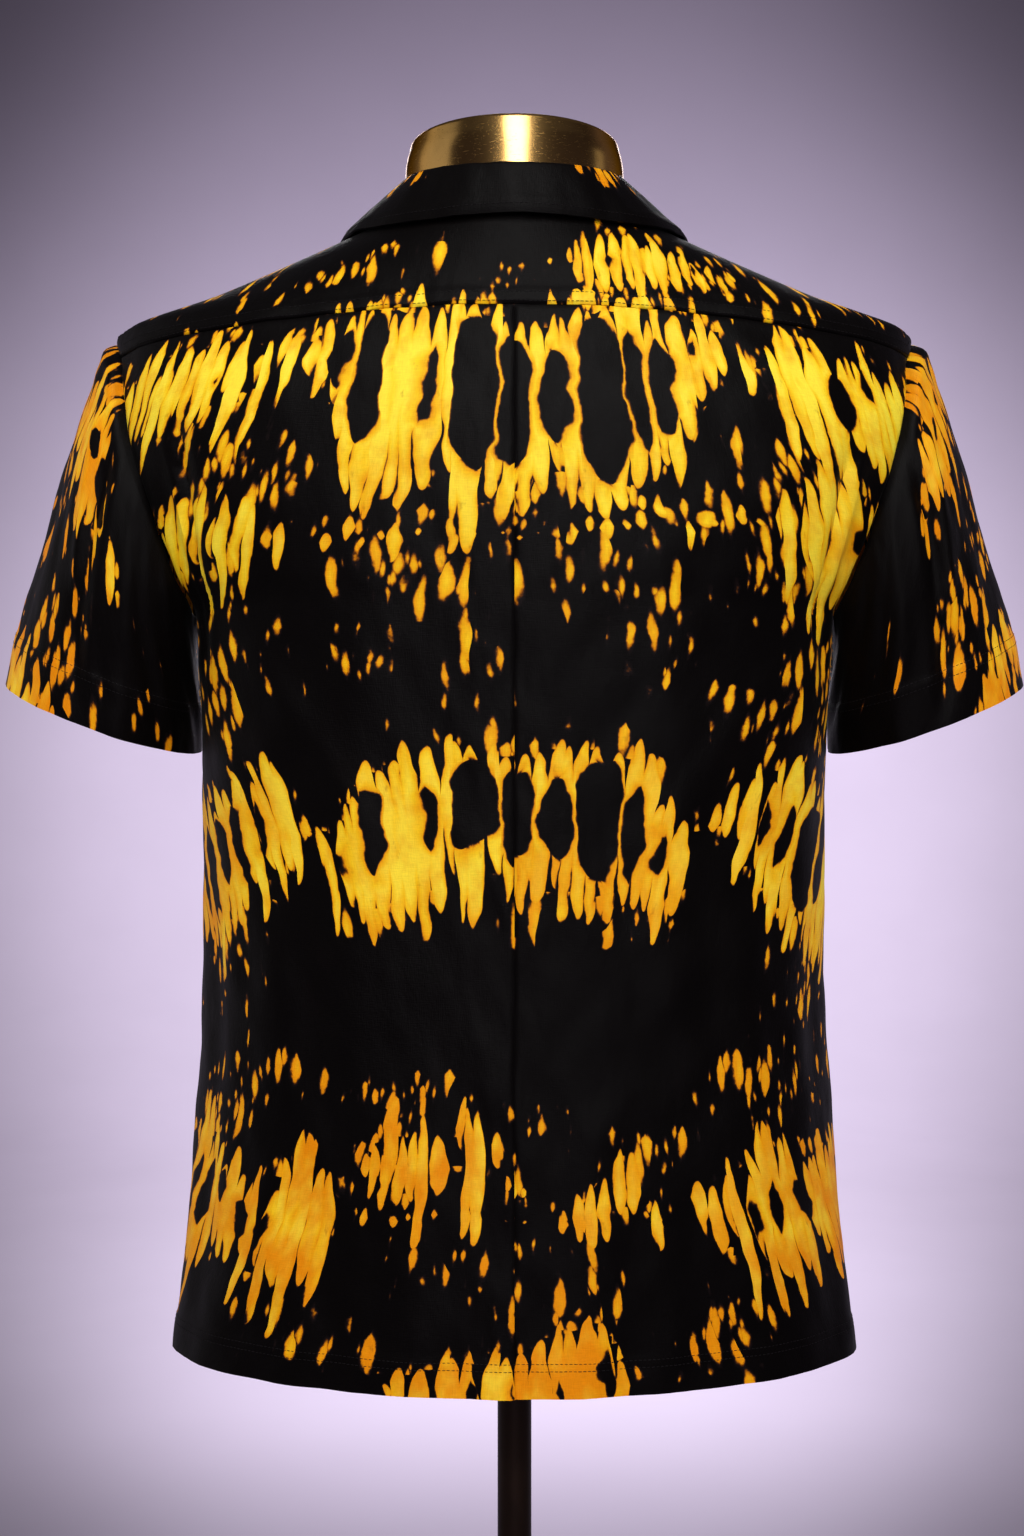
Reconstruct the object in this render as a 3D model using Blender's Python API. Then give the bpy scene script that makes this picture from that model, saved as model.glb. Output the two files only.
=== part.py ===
"""A short sleeved batik shirt on a limbless dress form with a metal neck cap, a pole and a round base.

Metres, +Z up, the front of the shirt towards -Y, the wearer's left towards +X, the floor at z = 0 under the pole.
The shirt's body follows one torso surface. A place on it is an angle round the pole, from the centre back (0)
past the side (90) to the centre front (180), and a height. Each cloth panel is a grid of such places with a wall.
"""

import math

import bmesh
import bpy
from mathutils import Vector

# Cloth and seams
CLOTH = 0.0012
SEAM_GAP = 0.0004
LAY_GAP = 0.0006

# Heights of the shirt above the floor
HEM = 0.798
UNDERARM = 1.268
YOKE_BACK = 1.4475
YOKE_BACK_FALL = 0.0175
COLLAR_BREAK = 1.370

# Angles round the pole, in degrees
YOKE_BACK_END = 83.5
NECK_SIDE_FRONT = 120.0

# Centre front overlap of the two fronts
OVERLAP = 0.014
OVERLAP_STEP = 0.0026
OVERLAP_BLEND = 0.018

# Grid counts
BODY_ROWS = 9
ARMHOLE_BACK_ROWS = 7
ARMHOLE_FRONT_ROWS = 7
YOKE_TIP_HALF = 2
BACK_COLUMNS = 10
FRONT_COLUMNS = 8
SLEEVE_ROWS = 7
COLLAR_STEPS = 18
LAPEL_ROWS = 5
LAPEL_COLUMNS = 3

# The shirt's torso surface
TORSO_SECTIONS = (
    # height, half_width, back_depth, front_depth, squareness
    (0.798, 0.2210, 0.1100, 0.1180, 1.90),
    (0.860, 0.2130, 0.1075, 0.1165, 1.96),
    (0.940, 0.2045, 0.1045, 0.1160, 2.03),
    (1.040, 0.1985, 0.1020, 0.1170, 2.12),
    (1.120, 0.1985, 0.1015, 0.1200, 2.20),
    (1.200, 0.2015, 0.1035, 0.1235, 2.30),
    (1.268, 0.2050, 0.1070, 0.1260, 2.42),
    (1.290, 0.2180, 0.1080, 0.1260, 2.48),
    (1.331, 0.2400, 0.1090, 0.1240, 2.50),
    (1.376, 0.2545, 0.1080, 0.1170, 2.50),
    (1.415, 0.2580, 0.1030, 0.1050, 2.35),
    (1.446, 0.2560, 0.0955, 0.0890, 2.10),
    (1.470, 0.1980, 0.0890, 0.0795, 1.95),
    (1.490, 0.1530, 0.0832, 0.0742, 1.80),
    (1.510, 0.1085, 0.0776, 0.0714, 1.70),
    (1.530, 0.0640, 0.0740, 0.0700, 1.70),
)

# The armhole, from the underarm up the back, over the shoulder point and down the front
ARMHOLE = (
    # angle, height
    (90.0, 1.268),
    (84.0, 1.274),
    (80.0, 1.292),
    (77.8, 1.331),
    (78.8, 1.376),
    (80.8, 1.408),
    (83.5, 1.430),
    (91.0, 1.4460),
    (98.5, 1.430),
    (102.5, 1.400),
    (104.5, 1.366),
    (104.5, 1.326),
    (101.0, 1.290),
    (96.0, 1.273),
)
ARMHOLE_YOKE_BACK = 6
ARMHOLE_TIP = 7
ARMHOLE_YOKE_FRONT = 8

# The neckline of the yoke, from the centre back to its front end
NECKLINE = (
    # angle, height
    (0.0, 1.5120),
    (45.0, 1.5155),
    (90.0, 1.5222),
    (120.0, 1.5100),
)

# Sleeves: the cuff is an oval, tilted outwards and hanging a little forward
CUFF_CENTRE = (0.2727, -0.0280, 1.2039)
CUFF_ACROSS = (0.0631, 0.0, 0.0233)
CUFF_BACKWARD = (0.0, 0.0595, -0.0075)
CUFF_PULL_OUTSIDE = (0.066, -0.034, -0.240)
CUFF_PULL_INSIDE = (0.010, -0.020, -0.085)
UNDERARM_PULL = (0.012, -0.020, -0.050)
SHOULDER_PULL = (0.086, 0.0, -0.084)
SLEEVE_FULLNESS = 0.045
SEAM_ROOM = 0.0006

# Collar, one row for each station from the centre back to the front end
COLLAR = (
    # seam_angle, seam_height, fold_x, fold_y, fold_z, edge_angle, edge_height, edge_lift
    (0.0, 1.5124, 0.0000, 0.0768, 1.5378, 0.0, 1.5045, 0.0085),
    (45.0, 1.5159, 0.0547, 0.0545, 1.5408, 50.0, 1.4995, 0.0045),
    (90.0, 1.5226, 0.0741, -0.0020, 1.5487, 90.0, 1.5090, 0.0025),
    (120.0, 1.5104, 0.0732, -0.0440, 1.5315, 112.0, 1.4880, 0.0025),
    (141.0, 1.4820, 0.0585, -0.0765, 1.4960, 126.0, 1.4600, 0.0025),
    (153.0, 1.4500, 0.0425, -0.0890, 1.4525, 134.0, 1.4320, 0.0025),
)
COLLAR_FOLD_RADIUS = 0.0018
COLLAR_BOW = 0.0008
COLLAR_SEAM_LIFT = 0.0026
COLLAR_SEAM_GAP = 0.0008

# Lapels, in the front view: the roll line's top, and the tip
LAPEL_TOP = 1.446
LAPEL_TIP_X = 0.094
LAPEL_TIP_Z = 1.408
LAPEL_BOTTOM = 1.376
LAPEL_BELLY = 0.006

# Buttons down the centre front
BUTTONS = (
    # height, gap to the torso surface
    (1.352, -0.0004),
    (1.240, 0.0005),
    (1.128, 0.0005),
    (1.016, 0.0005),
    (0.904, 0.0004),
)
BUTTON_RADIUS = 0.00575
BUTTON_THICKNESS = 0.0026
BUTTON_DISH_RADIUS = 0.0036
BUTTON_DISH_DEPTH = 0.0007
BUTTON_SEGMENTS = 20

# The dress form
FORM_SECTIONS = (
    # height, half_width, back_depth, front_depth, squareness
    (0.868, 0.1480, 0.0720, 0.0780, 2.20),
    (0.872, 0.1600, 0.0810, 0.0880, 2.20),
    (0.884, 0.1690, 0.0870, 0.0950, 2.20),
    (0.930, 0.1760, 0.0920, 0.1000, 2.20),
    (0.980, 0.1770, 0.0930, 0.1010, 2.20),
    (1.040, 0.1700, 0.0900, 0.0990, 2.20),
    (1.100, 0.1660, 0.0880, 0.1000, 2.20),
    (1.160, 0.1700, 0.0900, 0.1050, 2.25),
    (1.220, 0.1790, 0.0940, 0.1110, 2.30),
    (1.280, 0.1900, 0.0985, 0.1150, 2.35),
    (1.320, 0.2010, 0.1005, 0.1140, 2.35),
    (1.360, 0.2140, 0.1005, 0.1090, 2.30),
    (1.395, 0.2260, 0.0980, 0.1000, 2.25),
    (1.420, 0.2330, 0.0940, 0.0920, 2.15),
    (1.436, 0.2350, 0.0905, 0.0855, 2.05),
    (1.446, 0.2330, 0.0880, 0.0820, 2.00),
    (1.453, 0.2265, 0.0864, 0.0795, 1.98),
    (1.462, 0.2120, 0.0842, 0.0770, 1.95),
    (1.474, 0.1840, 0.0809, 0.0725, 1.88),
    (1.488, 0.1500, 0.0769, 0.0685, 1.78),
    (1.500, 0.1200, 0.0732, 0.0660, 1.72),
    (1.510, 0.0960, 0.0708, 0.0650, 1.72),
    (1.519, 0.0775, 0.0695, 0.0650, 1.85),
    (1.5275, 0.0695, 0.0685, 0.0655, 2.00),
)
FORM_COLUMNS = 36

# Neck cap, pole and base, each as radius and height
NECK_CAP_PROFILE = (
    # radius, height
    (0.0, 1.5278),
    (0.0692, 1.5278),
    (0.0698, 1.5284),
    (0.0702, 1.5400),
    (0.0706, 1.5530),
    (0.0676, 1.5690),
    (0.0674, 1.5712),
    (0.0668, 1.5718),
    (0.0, 1.5718),
)
NECK_CAP_SEGMENTS = 48
POLE_RADIUS = 0.0110
FLANGE_RADIUS = 0.0450
FLANGE_THICKNESS = 0.0040
FORM_UNDERSIDE = 0.868
BASE_RADIUS = 0.190
BASE_THICKNESS = 0.006
HUB_RADIUS = 0.024
HUB_HEIGHT = 0.034
STAND_SEGMENTS = 48
POLE_SEGMENTS = 24
METAL_GAP = 0.0003

COLOURS = {
    # node prefix: base colour, roughness, metallic
    "back": ((0.010, 0.008, 0.010), 0.78, 0.0),
    "front": ((0.012, 0.009, 0.011), 0.78, 0.0),
    "yoke": ((0.014, 0.010, 0.012), 0.78, 0.0),
    "sleeve": ((0.011, 0.009, 0.011), 0.78, 0.0),
    "collar": ((0.016, 0.011, 0.013), 0.78, 0.0),
    "lapel": ((0.018, 0.012, 0.014), 0.78, 0.0),
    "button": ((0.015, 0.012, 0.012), 0.25, 0.0),
    "form": ((0.060, 0.050, 0.055), 0.85, 0.0),
    "neck": ((0.780, 0.520, 0.180), 0.18, 1.0),
    "pole": ((0.040, 0.026, 0.020), 0.30, 1.0),
    "base": ((0.040, 0.028, 0.022), 0.35, 1.0),
}


def clear_scene():
    for thing in list(bpy.data.objects):
        bpy.data.objects.remove(thing, do_unlink=True)


def paint(thing):
    """Gives an object its own Principled material, by the first word of its name."""
    colour, roughness, metallic = COLOURS[thing.name.split("_")[0]]
    material = bpy.data.materials.new(thing.name)
    material.use_nodes = True
    shader = material.node_tree.nodes["Principled BSDF"]
    shader.inputs["Base Color"].default_value = (*colour, 1.0)
    shader.inputs["Roughness"].default_value = roughness
    shader.inputs["Metallic"].default_value = metallic
    thing.data.materials.append(material)


def add_object(name, mesh_maker):
    """A new object from a bmesh that mesh_maker fills, shaded smooth away from its sharp edges."""
    mesh = bpy.data.meshes.new(name)
    bm = bmesh.new()
    mesh_maker(bm)
    bmesh.ops.recalc_face_normals(bm, faces=bm.faces)
    bm.to_mesh(mesh)
    bm.free()
    mesh.shade_smooth()
    mesh.set_sharp_from_angle(angle=math.radians(40.0))
    thing = bpy.data.objects.new(name, mesh)
    bpy.context.scene.collection.objects.link(thing)
    paint(thing)
    return thing


def slopes(keys, values):
    """Slopes of a cubic through a table's rows that doesn't overshoot them."""
    steps = [(values[i + 1] - values[i]) / (keys[i + 1] - keys[i]) for i in range(len(keys) - 1)]
    found = [steps[0]]
    for before, after in zip(steps, steps[1:]):
        found.append(0.0 if before * after <= 0 else 2 * before * after / (before + after))
    return found + [steps[-1]]


def table_reader(table):
    """A function of the first column that gives the other columns of a table, smoothly between its rows."""
    keys = [row[0] for row in table]
    columns = [[row[i] for row in table] for i in range(1, len(table[0]))]
    column_slopes = [slopes(keys, values) for values in columns]

    def read(key):
        key = min(max(key, keys[0]), keys[-1])
        i = max(k for k in range(len(keys) - 1) if keys[k] <= key)
        width = keys[i + 1] - keys[i]
        t = (key - keys[i]) / width
        found = []
        for values, slope in zip(columns, column_slopes):
            start = values[i] * (1 + 2 * t) * (1 - t) ** 2 + slope[i] * width * t * (1 - t) ** 2
            end = values[i + 1] * t * t * (3 - 2 * t) - slope[i + 1] * width * t * t * (1 - t)
            found.append(start + end)
        return found

    return read


read_torso = table_reader(TORSO_SECTIONS)
read_form = table_reader(FORM_SECTIONS)
read_neckline = table_reader(NECKLINE)


def section_point(reader, angle, height):
    """The point of a section at an angle, in degrees from the centre back towards +X."""
    half_width, back, front, squareness = reader(height)
    sine = math.sin(math.radians(angle))
    cosine = math.cos(math.radians(angle))
    depth = back if cosine > 0 else front
    across = (abs(sine) / half_width) ** squareness
    along = (abs(cosine) / depth) ** squareness
    radius = (across + along) ** (-1.0 / squareness)
    return Vector((radius * sine, radius * cosine, height))


def torso(angle, height):
    return section_point(read_torso, angle, height)


def torso_normal(angle, height):
    """Outward direction of the torso surface."""
    turn, rise = 0.4, 0.0008
    round_the_body = torso(angle + turn, height) - torso(angle - turn, height)
    upwards = torso(angle, height + rise) - torso(angle, height - rise)
    return upwards.cross(round_the_body).normalized()


def angle_at_x(x, height):
    """The angle on the front of the torso where the surface stands at x, found by halving."""
    low, high = 90.0, 180.0
    if x < 0:
        low, high = 180.0, 270.0
    for _ in range(40):
        middle = 0.5 * (low + high)
        if torso(middle, height).x > x:
            low = middle
        else:
            high = middle
    return 0.5 * (low + high)


def spline(points, closed, per_span):
    """A smooth curve through points of any number of values, with per_span steps between neighbours."""
    count = len(points)
    spans = count if closed else count - 1
    curve = []
    for i in range(spans):
        if closed:
            a, b, c, d = (points[(i + k) % count] for k in (-1, 0, 1, 2))
        else:
            a, b = points[max(i - 1, 0)], points[i]
            c, d = points[i + 1], points[min(i + 2, count - 1)]
        for step in range(per_span):
            t = step / per_span
            weights = (
                0.5 * (-t + 2 * t * t - t**3),
                0.5 * (2 - 5 * t * t + 3 * t**3),
                0.5 * (t + 4 * t * t - 3 * t**3),
                0.5 * (t**3 - t * t),
            )
            curve.append(tuple(sum(w * v for w, v in zip(weights, values)) for values in zip(a, b, c, d)))
    if not closed:
        curve.append(tuple(points[-1]))
    return curve


def spread_evenly(places, count):
    """count + 1 places of a run on the torso, the same distance apart along its surface."""
    points = [torso(*place) for place in places]
    lengths = [0.0]
    for before, after in zip(points, points[1:]):
        lengths.append(lengths[-1] + (after - before).length)
    spread = []
    for i in range(count + 1):
        target = lengths[-1] * i / count
        k = max(j for j in range(len(lengths) - 1) if lengths[j] <= target + 1e-12)
        t = (target - lengths[k]) / (lengths[k + 1] - lengths[k])
        spread.append(tuple(p + (q - p) * t for p, q in zip(places[k], places[k + 1])))
    return spread


def armhole_places():
    """Places round the armhole, shared by all the panels that meet there: back, tip of the yoke, front."""
    fine = 24
    loop = spline(ARMHOLE, True, fine)
    loop.append(loop[0])
    back = spread_evenly(loop[: ARMHOLE_YOKE_BACK * fine + 1], ARMHOLE_BACK_ROWS)
    tip_back = spread_evenly(loop[ARMHOLE_YOKE_BACK * fine : ARMHOLE_TIP * fine + 1], YOKE_TIP_HALF)
    tip_front = spread_evenly(loop[ARMHOLE_TIP * fine : ARMHOLE_YOKE_FRONT * fine + 1], YOKE_TIP_HALF)
    front = spread_evenly(loop[ARMHOLE_YOKE_FRONT * fine :], ARMHOLE_FRONT_ROWS)
    return back, tip_back + tip_front[1:], front


ARMHOLE_BACK, ARMHOLE_TOP, ARMHOLE_FRONT = armhole_places()


def mirror(vector, side):
    return Vector((vector.x * side, vector.y, vector.z))


def build_wall(name, outer, normals, closed=False):
    """A cloth wall: a grid of outer points, its inner copy a cloth's thickness below, and a rim all round."""
    rows, columns = len(outer), len(outer[0])

    def make(bm):
        skins = []
        for depth in (0.0, CLOTH):
            skins.append(
                [
                    [bm.verts.new(point - normal * depth) for point, normal in zip(row, row_normals)]
                    for row, row_normals in zip(outer, normals)
                ]
            )
        across = columns if closed else columns - 1
        for skin in skins:
            for i in range(rows - 1):
                for j in range(across):
                    k = (j + 1) % columns
                    bm.faces.new((skin[i][j], skin[i][k], skin[i + 1][k], skin[i + 1][j]))
        top, below = skins
        for i in (0, rows - 1):
            for j in range(across):
                k = (j + 1) % columns
                bm.faces.new((top[i][j], top[i][k], below[i][k], below[i][j]))
        if not closed:
            for j in (0, columns - 1):
                for i in range(rows - 1):
                    bm.faces.new((top[i][j], top[i + 1][j], below[i + 1][j], below[i][j]))

    return add_object(name, make)


def grid_normals(points, closed, outward):
    """Directions square to a grid, turned to the side that outward(point) says."""
    rows, columns = len(points), len(points[0])
    normals = []
    for i in range(rows):
        line = []
        for j in range(columns):
            down = points[min(i + 1, rows - 1)][j] - points[max(i - 1, 0)][j]
            if closed:
                along = points[i][(j + 1) % columns] - points[i][j - 1]
            else:
                along = points[i][min(j + 1, columns - 1)] - points[i][max(j - 1, 0)]
            normal = down.cross(along).normalized()
            line.append(normal if normal.dot(outward(points[i][j])) > 0 else -normal)
        normals.append(line)
    return normals


def panel(name, places, side, moved):
    """A wall on the torso surface. moved(i, j, point, normal) gives a grid point its last small shift."""
    outer, normals = [], []
    for i, row in enumerate(places):
        points, directions = [], []
        for j, (angle, height) in enumerate(row):
            normal = torso_normal(angle, height)
            points.append(mirror(moved(i, j, torso(angle, height), normal), side))
            directions.append(mirror(normal, side))
        outer.append(points)
        normals.append(directions)
    return build_wall(name, outer, normals)


def yoke_seam_height(angle):
    return YOKE_BACK - YOKE_BACK_FALL * (angle / YOKE_BACK_END) ** 3


def build_backs():
    """Two back panels, from the hem to the yoke, with a seam at the centre back."""
    ends = [(90.0, HEM + (UNDERARM - HEM) * i / BODY_ROWS) for i in range(BODY_ROWS)] + ARMHOLE_BACK
    places = []
    for i, (end_angle, end_height) in enumerate(ends):
        centre = end_height
        if i > BODY_ROWS:
            centre = UNDERARM + (YOKE_BACK - UNDERARM) * (i - BODY_ROWS) / ARMHOLE_BACK_ROWS
        row = []
        for j in range(BACK_COLUMNS + 1):
            share = j / BACK_COLUMNS
            row.append((end_angle * share, centre + (end_height - centre) * share**3))
        places.append(row)

    def moved(i, j, point, normal):
        return point + Vector((0.5 * SEAM_GAP if j == 0 else 0.0, 0.0, 0.0))

    for name, side in (("back_left", 1), ("back_right", -1)):
        panel(name, places, side, moved)


def yoke_places():
    """Half of the yoke's grid: one line for each column, from its outer edge to the neckline."""
    outer = [
        (YOKE_BACK_END * i / BACK_COLUMNS, yoke_seam_height(YOKE_BACK_END * i / BACK_COLUMNS))
        for i in range(BACK_COLUMNS)
    ] + ARMHOLE_TOP
    lines = []
    for i, (angle, height) in enumerate(outer):
        neck_angle = NECK_SIDE_FRONT * i / (len(outer) - 1)
        neck_height = read_neckline(neck_angle)[0]
        line = []
        for j in range(FRONT_COLUMNS + 1):
            share = j / FRONT_COLUMNS
            line.append((angle + (neck_angle - angle) * share, height + (neck_height - height) * share))
        lines.append(line)
    return lines


def build_yoke():
    """One piece over both shoulders, from the back seam to the two front seams, round the back of the neck."""
    lines = yoke_places()
    outer, normals = [], []
    signed = [(-1, line) for line in reversed(lines[1:])] + [(1, line) for line in lines]
    for side, line in signed:
        points, directions = [], []
        for j, (angle, height) in enumerate(line):
            normal = torso_normal(angle, height)
            point = torso(angle, height)
            if j == 0 and line in lines[: BACK_COLUMNS + 1]:
                point = torso(angle, height + SEAM_GAP)
            points.append(mirror(point, side))
            directions.append(mirror(normal, side))
        outer.append(points)
        normals.append(directions)
    build_wall("yoke", outer, normals)


def break_line_x(height):
    """Half the width of the open neck in the front view, from the break of the collar to the neck's side."""
    neck = torso(NECK_SIDE_FRONT, NECKLINE[-1][1])
    return neck.x * (height - COLLAR_BREAK) / (neck.z - COLLAR_BREAK)


def front_places(overlap_x):
    """Grid of a front, from the side and armhole to the centre edge and the open neck."""
    yoke_edge = yoke_places()[-1]
    rise = ARMHOLE_FRONT[::-1]
    ends = [(90.0, HEM + (UNDERARM - HEM) * i / BODY_ROWS) for i in range(BODY_ROWS)] + rise
    places = []
    for i, (end_angle, end_height) in enumerate(ends):
        if i <= BODY_ROWS:
            inner_height = HEM + (COLLAR_BREAK - HEM) * i / BODY_ROWS
            inner_angle = angle_at_x(overlap_x, inner_height)
        else:
            share = (i - BODY_ROWS) / ARMHOLE_FRONT_ROWS
            inner_height = COLLAR_BREAK + (NECKLINE[-1][1] - COLLAR_BREAK) * share
            inner_x = max(break_line_x(inner_height), 0.0)
            inner_angle = angle_at_x(inner_x + overlap_x * (1 - share) ** 3, inner_height)
        if i == len(ends) - 1:
            places.append([yoke_edge[j] for j in range(FRONT_COLUMNS + 1)])
            continue
        row = []
        for j in range(FRONT_COLUMNS + 1):
            share = j / FRONT_COLUMNS
            row.append(
                (
                    end_angle + (inner_angle - end_angle) * share,
                    end_height + (inner_height - end_height) * share * share * (3 - 2 * share),
                )
            )
        places.append(row)
    return places


def build_fronts():
    """Two fronts. The wearer's left one laps over the right one, which steps in under it."""
    last = BODY_ROWS + ARMHOLE_FRONT_ROWS
    for name, side in (("front_left", 1), ("front_right", -1)):
        places = front_places(-OVERLAP)

        def moved(i, j, point, normal):
            if side < 0:
                reach = (OVERLAP + OVERLAP_BLEND - point.x) / OVERLAP_BLEND
                ease = min(max(reach, 0.0), 1.0)
                point = point - normal * OVERLAP_STEP * ease * ease * (3 - 2 * ease)
            if i == last:
                point = point + Vector((0.0, -SEAM_GAP, -0.3 * SEAM_GAP))
            elif j == 0 and i < BODY_ROWS + 1:
                point = point + Vector((0.0, -SEAM_GAP, 0.0))
            return point

        panel(name, places, side, moved)


def armhole_ring():
    """The whole armhole once round, from the underarm up the back and down the front."""
    return ARMHOLE_BACK + ARMHOLE_TOP[1:] + ARMHOLE_FRONT[1:-1]


def build_sleeves():
    """Each sleeve runs from the armhole to the cuff's oval, full at the shoulder and straight at the cuff."""
    places = armhole_ring()
    ring = [torso(*place) for place in places]
    middle = sum(ring, Vector()) / len(ring)
    seam_sides = []
    lengths = [0.0]
    for before, after in zip(ring, ring[1:] + ring[:1]):
        lengths.append(lengths[-1] + (after - before).length)
    tip = ARMHOLE_BACK_ROWS + YOKE_TIP_HALF
    lines = []
    for i, start in enumerate(ring):
        if i <= tip:
            turn = math.pi * lengths[i] / lengths[tip]
        else:
            turn = math.pi + math.pi * (lengths[i] - lengths[tip]) / (lengths[-1] - lengths[tip])
        height_share = 0.5 * (1 - math.cos(turn))
        across, backward = Vector(CUFF_ACROSS), Vector(CUFF_BACKWARD)
        end = Vector(CUFF_CENTRE) - across * math.cos(turn) + backward * math.sin(turn)
        pull = Vector(UNDERARM_PULL).lerp(Vector(SHOULDER_PULL), height_share)
        pull.y += SLEEVE_FULLNESS * math.sin(turn)
        cuff_pull = Vector(CUFF_PULL_INSIDE).lerp(Vector(CUFF_PULL_OUTSIDE), height_share)
        body_side = torso_normal(*places[i])
        round_hole = ring[(i + 1) % len(ring)] - ring[i - 1]
        into_hole = body_side.cross(round_hole).normalized()
        if into_hole.dot(middle - start) < 0:
            into_hole = -into_hole
        hang = into_hole.lerp(body_side, (1 - height_share) ** 3).normalized()
        start = start + hang * (SEAM_GAP + SEAM_ROOM * (1 - height_share) ** 3)
        seam_sides.append(body_side)
        line = []
        for j in range(SLEEVE_ROWS + 1):
            t = (j / SLEEVE_ROWS) ** 1.15
            from_start = start * (1 + 2 * t) * (1 - t) ** 2 + pull * t * (1 - t) ** 2
            from_end = end * t * t * (3 - 2 * t) - cuff_pull * t * t * (1 - t)
            line.append(from_start + from_end)
        lines.append(line)
    rows = [[line[j] for line in lines] for j in range(SLEEVE_ROWS + 1)]
    centres = [sum(row, Vector()) / len(row) for row in rows]

    def outward(point):
        nearest = min(centres, key=lambda centre: (centre - point).length)
        return point - nearest

    normals = grid_normals(rows, True, outward)
    for i, body_side in enumerate(seam_sides):
        share = min(max(0.5 + 2.0 * normals[0][i].dot(body_side), 0.0), 1.0)
        normals[0][i] = normals[0][i].lerp(body_side, share).normalized()
    for name, side in (("sleeve_left", 1), ("sleeve_right", -1)):
        outer = [[mirror(point, side) for point in row] for row in rows]
        directions = [[mirror(normal, side) for normal in row] for row in normals]
        build_wall(name, outer, directions, closed=True)


def collar_profile(seam, fold, edge, outward):
    """The collar's cloth across its width: up the stand, over the fold and down to the outer edge."""
    up = (fold - seam).normalized()
    out = (outward - up * outward.dot(up)).normalized()
    inner = fold - out * COLLAR_FOLD_RADIUS - up * COLLAR_FOLD_RADIUS
    outer = fold + out * COLLAR_FOLD_RADIUS - up * COLLAR_FOLD_RADIUS
    points = [seam, seam.lerp(inner, 0.5), inner, fold, outer]
    for share in (0.35, 0.7):
        bow = COLLAR_BOW * math.sin(math.pi * share)
        points.append(outer.lerp(edge, share) + out * bow)
    return points + [edge]


def collar_rows():
    """The middle of the collar's cloth, one line across its width for each step round the neck."""
    stations = spline(COLLAR, False, 8)
    count = len(stations)
    half = []
    for i in range(COLLAR_STEPS + 1):
        row = stations[round((count - 1) * i / COLLAR_STEPS)]
        seam_angle, seam_height, x, y, z, edge_angle, edge_height, lift = row
        if seam_angle <= NECK_SIDE_FRONT:
            seam_height = read_neckline(seam_angle)[0] + COLLAR_SEAM_GAP
        front_share = max(0.0, (seam_angle - NECK_SIDE_FRONT) / (COLLAR[-1][0] - NECK_SIDE_FRONT))
        seam_lift = COLLAR_SEAM_LIFT * min(1.0, 3 * front_share)
        seam = torso(seam_angle, seam_height) + torso_normal(seam_angle, seam_height) * seam_lift
        if front_share == 0.0:
            seam = seam - torso_normal(seam_angle, seam_height) * 0.5 * CLOTH
        edge = torso(edge_angle, edge_height) + torso_normal(edge_angle, edge_height) * lift
        outward = Vector((math.sin(math.radians(edge_angle)), math.cos(math.radians(edge_angle)), 0.0))
        half.append(collar_profile(seam, Vector((x, y, z)), edge, outward))
    return [[mirror(point, -1) for point in line] for line in reversed(half[1:])] + half


def collar_normals(rows):
    """Directions of the side that shows on the fall, carried over the fold to the neck side of the stand."""
    normals = grid_normals(rows, False, lambda point: Vector((0.0, 0.0, 1.0)))
    for line, row_normals in zip(rows, normals):
        fall = len(line) - 1
        edge_out = Vector((line[fall].x, line[fall].y, 0.02))
        if row_normals[fall].dot(edge_out) < 0:
            row_normals[fall] = -row_normals[fall]
        for j in range(fall - 1, -1, -1):
            if row_normals[j].dot(row_normals[j + 1]) < 0:
                row_normals[j] = -row_normals[j]
    return normals


def build_collar():
    """A camp collar, stand and fall in one, round the back of the neck and down to the lapels."""
    rows = collar_rows()
    normals = collar_normals(rows)
    outer = [
        [point + normal * 0.5 * CLOTH for point, normal in zip(line, row_normals)]
        for line, row_normals in zip(rows, normals)
    ]
    build_wall("collar", outer, normals)


def build_lapels():
    """The turned-out top corners of the fronts, lying on them under the collar's ends."""
    lift = LAY_GAP + CLOTH
    for name, side in (("lapel_left", 1), ("lapel_right", -1)):
        places = []
        for i in range(LAPEL_ROWS + 1):
            share = i / LAPEL_ROWS
            inner_z = LAPEL_TOP + (LAPEL_BOTTOM - LAPEL_TOP) * share
            inner_x = break_line_x(inner_z)
            outer_x = LAPEL_TIP_X + (break_line_x(LAPEL_BOTTOM) + 0.004 - LAPEL_TIP_X) * share
            outer_x += LAPEL_BELLY * math.sin(math.pi * share)
            outer_z = LAPEL_TIP_Z + (LAPEL_BOTTOM - 0.004 - LAPEL_TIP_Z) * share
            row = []
            for j in range(LAPEL_COLUMNS + 1):
                t = j / LAPEL_COLUMNS
                height = inner_z + (outer_z - inner_z) * t
                row.append((angle_at_x(inner_x + (outer_x - inner_x) * t, height), height))
            places.append(row)
        panel(name, places, side, lambda i, j, point, normal: point + normal * lift)


def turned(name, profile, segments, place=None):
    """A closed turned solid: a profile of radius and height, from axis to axis, spun round its axis."""

    def make(bm):
        rings = []
        for radius, height in profile:
            if radius == 0.0:
                rings.append([bm.verts.new((0.0, 0.0, height))])
                continue
            rings.append(
                [
                    bm.verts.new(
                        (
                            radius * math.cos(2 * math.pi * k / segments),
                            radius * math.sin(2 * math.pi * k / segments),
                            height,
                        )
                    )
                    for k in range(segments)
                ]
            )
        for below, above in zip(rings, rings[1:]):
            for k in range(segments):
                n = (k + 1) % segments
                if len(below) == 1:
                    bm.faces.new((below[0], above[n], above[k]))
                elif len(above) == 1:
                    bm.faces.new((below[k], below[n], above[0]))
                else:
                    bm.faces.new((below[k], below[n], above[n], above[k]))

    thing = add_object(name, make)
    if place is not None:
        thing.matrix_world = place
    return thing


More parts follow.
